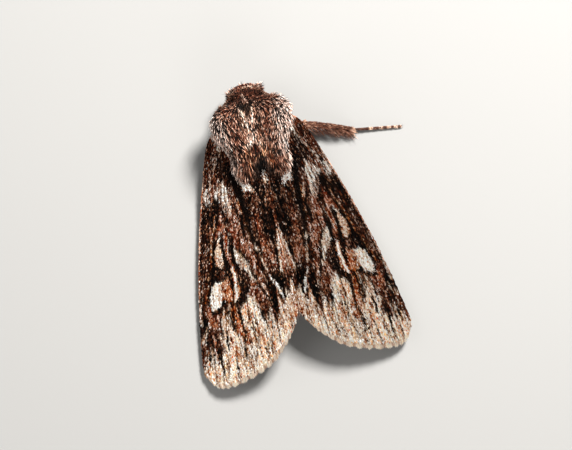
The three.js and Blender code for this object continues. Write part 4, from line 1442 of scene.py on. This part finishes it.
def add_feeler(word, side):
    """A jointed shaft with two rows of short comb teeth and a dusting of scales."""
    count = FEELER["segments"]
    path = curve(FEELER_ROUTE, count) * np.array([side, 1, 1])
    share = np.linspace(0, 1, count + 1)
    half = FEELER["half"] + (FEELER["tip"] - FEELER["half"]) * share
    uv = np.stack([0.02 + 0.95 * share[:-1], np.full(count, 0.3)], axis=1)
    along = unit(path[1:] - path[:-1])
    across = unit(np.cross(along, np.array([[0, 0, 1.0]])))
    # shaft
    beads = rods(path[:-1], path[1:], half[:-1] * 0.92, half[1:])
    tone = grained(np.broadcast_to(rgb("#4d3529"), (count, 3)), 0.2)
    shaft = feeler_coat(f"feeler_{word}_shaft", beads, BEAD_FACES, tone, uv, BEAD_UV, 0.6)
    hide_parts(f"antenna_{word}")
    # comb, its teeth longest in the middle of the feeler
    middles = (path[1:] + path[:-1]) / 2
    arch = np.sin(np.clip(share[:-1] * 1.15 + 0.12, 0, 1) * math.pi)
    lengths = FEELER["tooth"] * arch**0.6 * ease(0.12, 0.4, share[:-1]) + 0.05
    teeth = []
    for way in (-1, 1):
        heading = unit(across * way + along * 0.45 + np.array([[0, 0, -0.15]]))
        up = unit(np.cross(heading, along) * -way)
        for shift in (-0.25, 0.25):
            teeth.append(locks(middles + along * 0.28 * shift, heading, up, lengths, 0.05, 0.05, 0.12))
    teeth = np.concatenate(teeth)
    tone = grained(np.broadcast_to(rgb("#553b2d"), (len(teeth), 3)), 0.25)
    places = np.tile(uv + np.array([[0, 0.3]]), (4, 1))
    feeler_coat(f"feeler_{word}_comb", teeth, LOCK_FACES, tone, places, LOCK_UV)
    # scales
    where = chance.uniform(0, 0.98, FEELER["scales"])
    angle = chance.uniform(0, 2 * math.pi, FEELER["scales"])
    index = (where * count).astype(int)
    out = across[index] * np.cos(angle)[:, None] + np.cross(across, along)[index] * np.sin(angle)[:, None]
    centre = path[index] + (path[index + 1] - path[index]) * (where * count - index)[:, None]
    roots = centre + out * half[index][:, None] * 0.98
    dust = kites(roots, along[index], out, chance.uniform(0.09, 0.15, len(where)), 0.06, 0.03, 0.006)
    tone = grained(mix(rgb("#54392b"), rgb("#a98670"), ease(0.45, 0.75, noise(where * 90, angle, 81))), 0.35)
    places = np.stack([0.02 + 0.95 * where, 0.05 + 0.2 * angle / (2 * math.pi)], axis=1)
    feeler_coat(f"feeler_{word}_scales", dust, KITE_FACES, tone, places, KITE_UV)


for word, side in SIDES:
    add_feeler(word, side)

# ---------------------------------------------------------------- legs

# hip, knee, ankle and toe of the right legs; the left ones are mirrored
LEG_ROUTES = {
    "foreleg": [(0.75, 10.2, 1.15), (2.8, 11.5, 1.0), (2.65, 12.85, 0.42), (1.05, 14.2, 0.2)],
    "midleg_right": [(0.95, 8.7, 1.15), (5.15, 9.4, 1.35), (9.7, 7.65, 0.42), (14.6, 6.8, 0.2)],
    "midleg_left": [(0.95, 8.3, 1.15), (4.4, 7.5, 1.15), (5.6, 3.3, 0.42), (6.9, -1.2, 0.2)],
    "hindleg": [(1.05, 6.7, 1.15), (3.9, 4.8, 1.1), (4.4, -1.3, 0.42), (5.6, -6.6, 0.2)],
}
LEG_PARTS = ("femur", "tibia", "tarsus")
# how much longer the hair is on the hind edge of each part
LEG_FRINGE = {"midleg_right": (1.2, 2.4, 0.3)}
PLAIN_FRINGE = (0.3, 0.3, 0.0)
# each part's hair: count, length, width and rise, and the half widths of the part under it
LEG_HAIR = ((1100, 0.5, 0.085, 0.4), (1300, 0.45, 0.075, 0.4), (700, 0.17, 0.06, 0.22))
LEG_HALVES = ((0.2, 0.36, 0.2), (0.17, 0.24, 0.17), (0.1, 0.11, 0.1))
# the hard leg: half widths along thigh and shin, of each foot joint, and where the foot joints begin
SHELL_STEPS = (0.0, 0.3, 0.7, 1.0)
FEMUR_HALVES = (0.2, 0.36, 0.34, 0.2)
TIBIA_HALVES = (0.17, 0.24, 0.22, 0.17)
TARSUS_HALVES = (0.08, 0.115)
TARSUS_SHARES = (0.0, 0.36, 0.56, 0.73, 0.87, 1.0)
CLAW_SPINE = {"inset": 0.04, "splay": 0.7, "length": 0.32, "half": 0.045}
SPUR_SPINE = {"inset": 0.1, "splay": 0.45, "length": 0.6, "half": 0.05}


def leg_colour(part, share):
    """Mottled brown, with pale rings at the joints."""
    if part == 2:
        ground = rgb("#2a140c")
        rings = np.max([1 - ease(0.02, 0.06, np.abs(share - joint)) for joint in TARSUS_SHARES], axis=0)
    else:
        ground, rings = rgb("#331a10"), 0.6 * ease(0.9, 0.98, share)
    speck = 0.26 * noise(share * 23, share * 7 + part, 71)
    return mix(np.broadcast_to(ground, share.shape + (3,)), SAND, np.clip(rings + speck, 0, 1))


def add_cone(start, way, length, sides, start_half, end_half):
    """A tapered tube along a direction: start and length in metres, half widths in millimetres."""
    select_only()
    bpy.ops.mesh.primitive_cone_add(
        vertices=sides, radius1=start_half * MM, radius2=end_half * MM, depth=length,
        location=start + way * length / 2, rotation=way.to_track_quat("Z", "Y").to_euler(),
    )
    return bpy.context.object


def add_segment(start, end, start_half, end_half, sides=10):
    """One hard segment of a leg: a tapered tube with rounded rims."""
    start, end = Vector(start) * MM, Vector(end) * MM
    segment = add_cone(start, (end - start).normalized(), (end - start).length, sides, start_half, end_half)
    with editing("DESELECT"):
        bpy.ops.mesh.edges_select_sharp(sharpness=math.radians(50))
        bpy.ops.mesh.bevel(offset=min(start_half, end_half) * 0.6 * MM, segments=2)
    bpy.ops.object.transform_apply(location=True, rotation=True, scale=True)
    return segment


def add_spine(root, way, length, half):
    """A pointed claw or spur: a tube for most of its length, then a tip that bends down."""
    root, way = Vector(root) * MM, Vector(way).normalized()
    spine = add_cone(root, way, length * 0.6 * MM, 8, half, half * 0.5)
    bpy.ops.object.transform_apply(location=True, rotation=True, scale=True)
    with editing("DESELECT"):
        pass  # this only clears the selection; the far face is chosen next
    max(spine.data.polygons, key=lambda face: face.center.dot(way)).select = True
    bpy.ops.object.mode_set(mode="EDIT")
    bend = way * length * 0.4 * MM - Vector((0, 0, length * 0.12 * MM))
    bpy.ops.mesh.extrude_region_move(TRANSFORM_OT_translate={"value": bend})
    bpy.ops.mesh.merge(type="CENTER")
    bpy.ops.object.mode_set(mode="OBJECT")
    return spine


def add_shell(name, corners):
    """The hard leg under its hair: thigh, shin, five foot joints, two spurs and two claws."""
    hip, knee, ankle, toe = corners
    pieces = []
    for a, b, halves in ((hip, knee, FEMUR_HALVES), (knee, ankle, TIBIA_HALVES)):
        places = [a + (b - a) * step for step in SHELL_STEPS]
        for i in range(3):
            pieces.append(add_segment(places[i], places[i + 1], halves[i], halves[i + 1], 12))
    joints = [ankle + (toe - ankle) * share for share in TARSUS_SHARES]
    for a, b in zip(joints, joints[1:]):
        pieces.append(add_segment(a, b, *TARSUS_HALVES))
    foot, shin = unit(toe - ankle), unit(ankle - knee)
    across = unit(np.cross(foot, np.array([0, 0, 1.0])))
    for way in (-1, 1):
        for end, along, spine in ((toe, foot, CLAW_SPINE), (ankle, shin, SPUR_SPINE)):
            root, heading = end - along * spine["inset"], along + way * across * spine["splay"]
            pieces.append(add_spine(root, heading, spine["length"], spine["half"]))
    shell = joined(pieces, f"{name}_shell")
    apply_modifier(shell, "SUBSURF", levels=1, render_levels=1)
    with editing():
        bpy.ops.mesh.normals_make_consistent(inside=False)
    bpy.ops.object.shade_smooth()
    at = points_of(shell.data)
    rings = ease(0.12, 0.04, np.abs((at - ankle) @ foot))
    set_tint(shell.data, mix(np.broadcast_to(rgb("#2e160d"), at.shape), rgb("#6b4632"), rings))
    shell.data.materials.append(LEG_FINISH)
    return shell


def leg_hair(part, a, b, fringe_length):
    """Locks all round one part of a leg, longer behind: their points, colours and UV places."""
    count, long, wide, rise = LEG_HAIR[part]
    heading = unit(b - a)
    right = unit(np.cross(heading, np.array([0, 0, 1.0])))
    top = np.cross(right, heading)
    share = chance.uniform(0, 0.98, count)
    angle = chance.uniform(0, 2 * math.pi, count)
    out = right * np.cos(angle)[:, None] + top * np.sin(angle)[:, None]
    half = np.interp(share, (0, 0.4, 1), LEG_HALVES[part])
    roots = a + (b - a) * share[:, None] + out * half[:, None] * 0.9
    hind = np.clip(-out[:, 1], 0, 1) ** 2
    ways = unit(heading + 0.25 * fringe_length * hind[:, None] * out + chance.normal(0, 0.12, (count, 3)))
    reach = long * (1 + fringe_length * hind) * chance.uniform(0.6, 1.2, count)
    points = locks(roots, ways, out, reach, wide, rise * (1 + 0.5 * hind), 0.15)
    tone = grained(leg_colour(part, share), 0.3)
    tips = mix(tone, rgb("#c9a78f"), chance.uniform(0, 0.28, count))
    places = np.stack([(part + share) / 3 * 0.95, 0.2 + 0.75 * angle / (2 * math.pi)], axis=1)
    # painted shade: each leg lock darker towards its root, where it lies deep in the hair
    return points, shaded_lock_colours(tone * 0.4, tone * 0.8, tone, tips), places


def add_leg(name, side, route):
    """A jointed leg with spurs, claws and hair."""
    corners = np.array(route) * np.array([side, 1, 1])
    finish_piece(add_shell(name, corners), [f"{name}_{part}" for part in LEG_PARTS])
    lengths = LEG_FRINGE.get(name, PLAIN_FRINGE)
    hair = [leg_hair(part, corners[part], corners[part + 1], lengths[part]) for part in range(3)]
    points, colours, places = (np.concatenate(rows) for rows in zip(*hair))
    coat_piece(f"{name}_fur", points, LOCK_FACES, colours, places, LOCK_UV, LEG_FINISH)


for word, side in SIDES:
    for leg in ("foreleg", "midleg", "hindleg"):
        name = f"{leg}_{word}"
        add_leg(name, side, LEG_ROUTES.get(name) or LEG_ROUTES[leg])
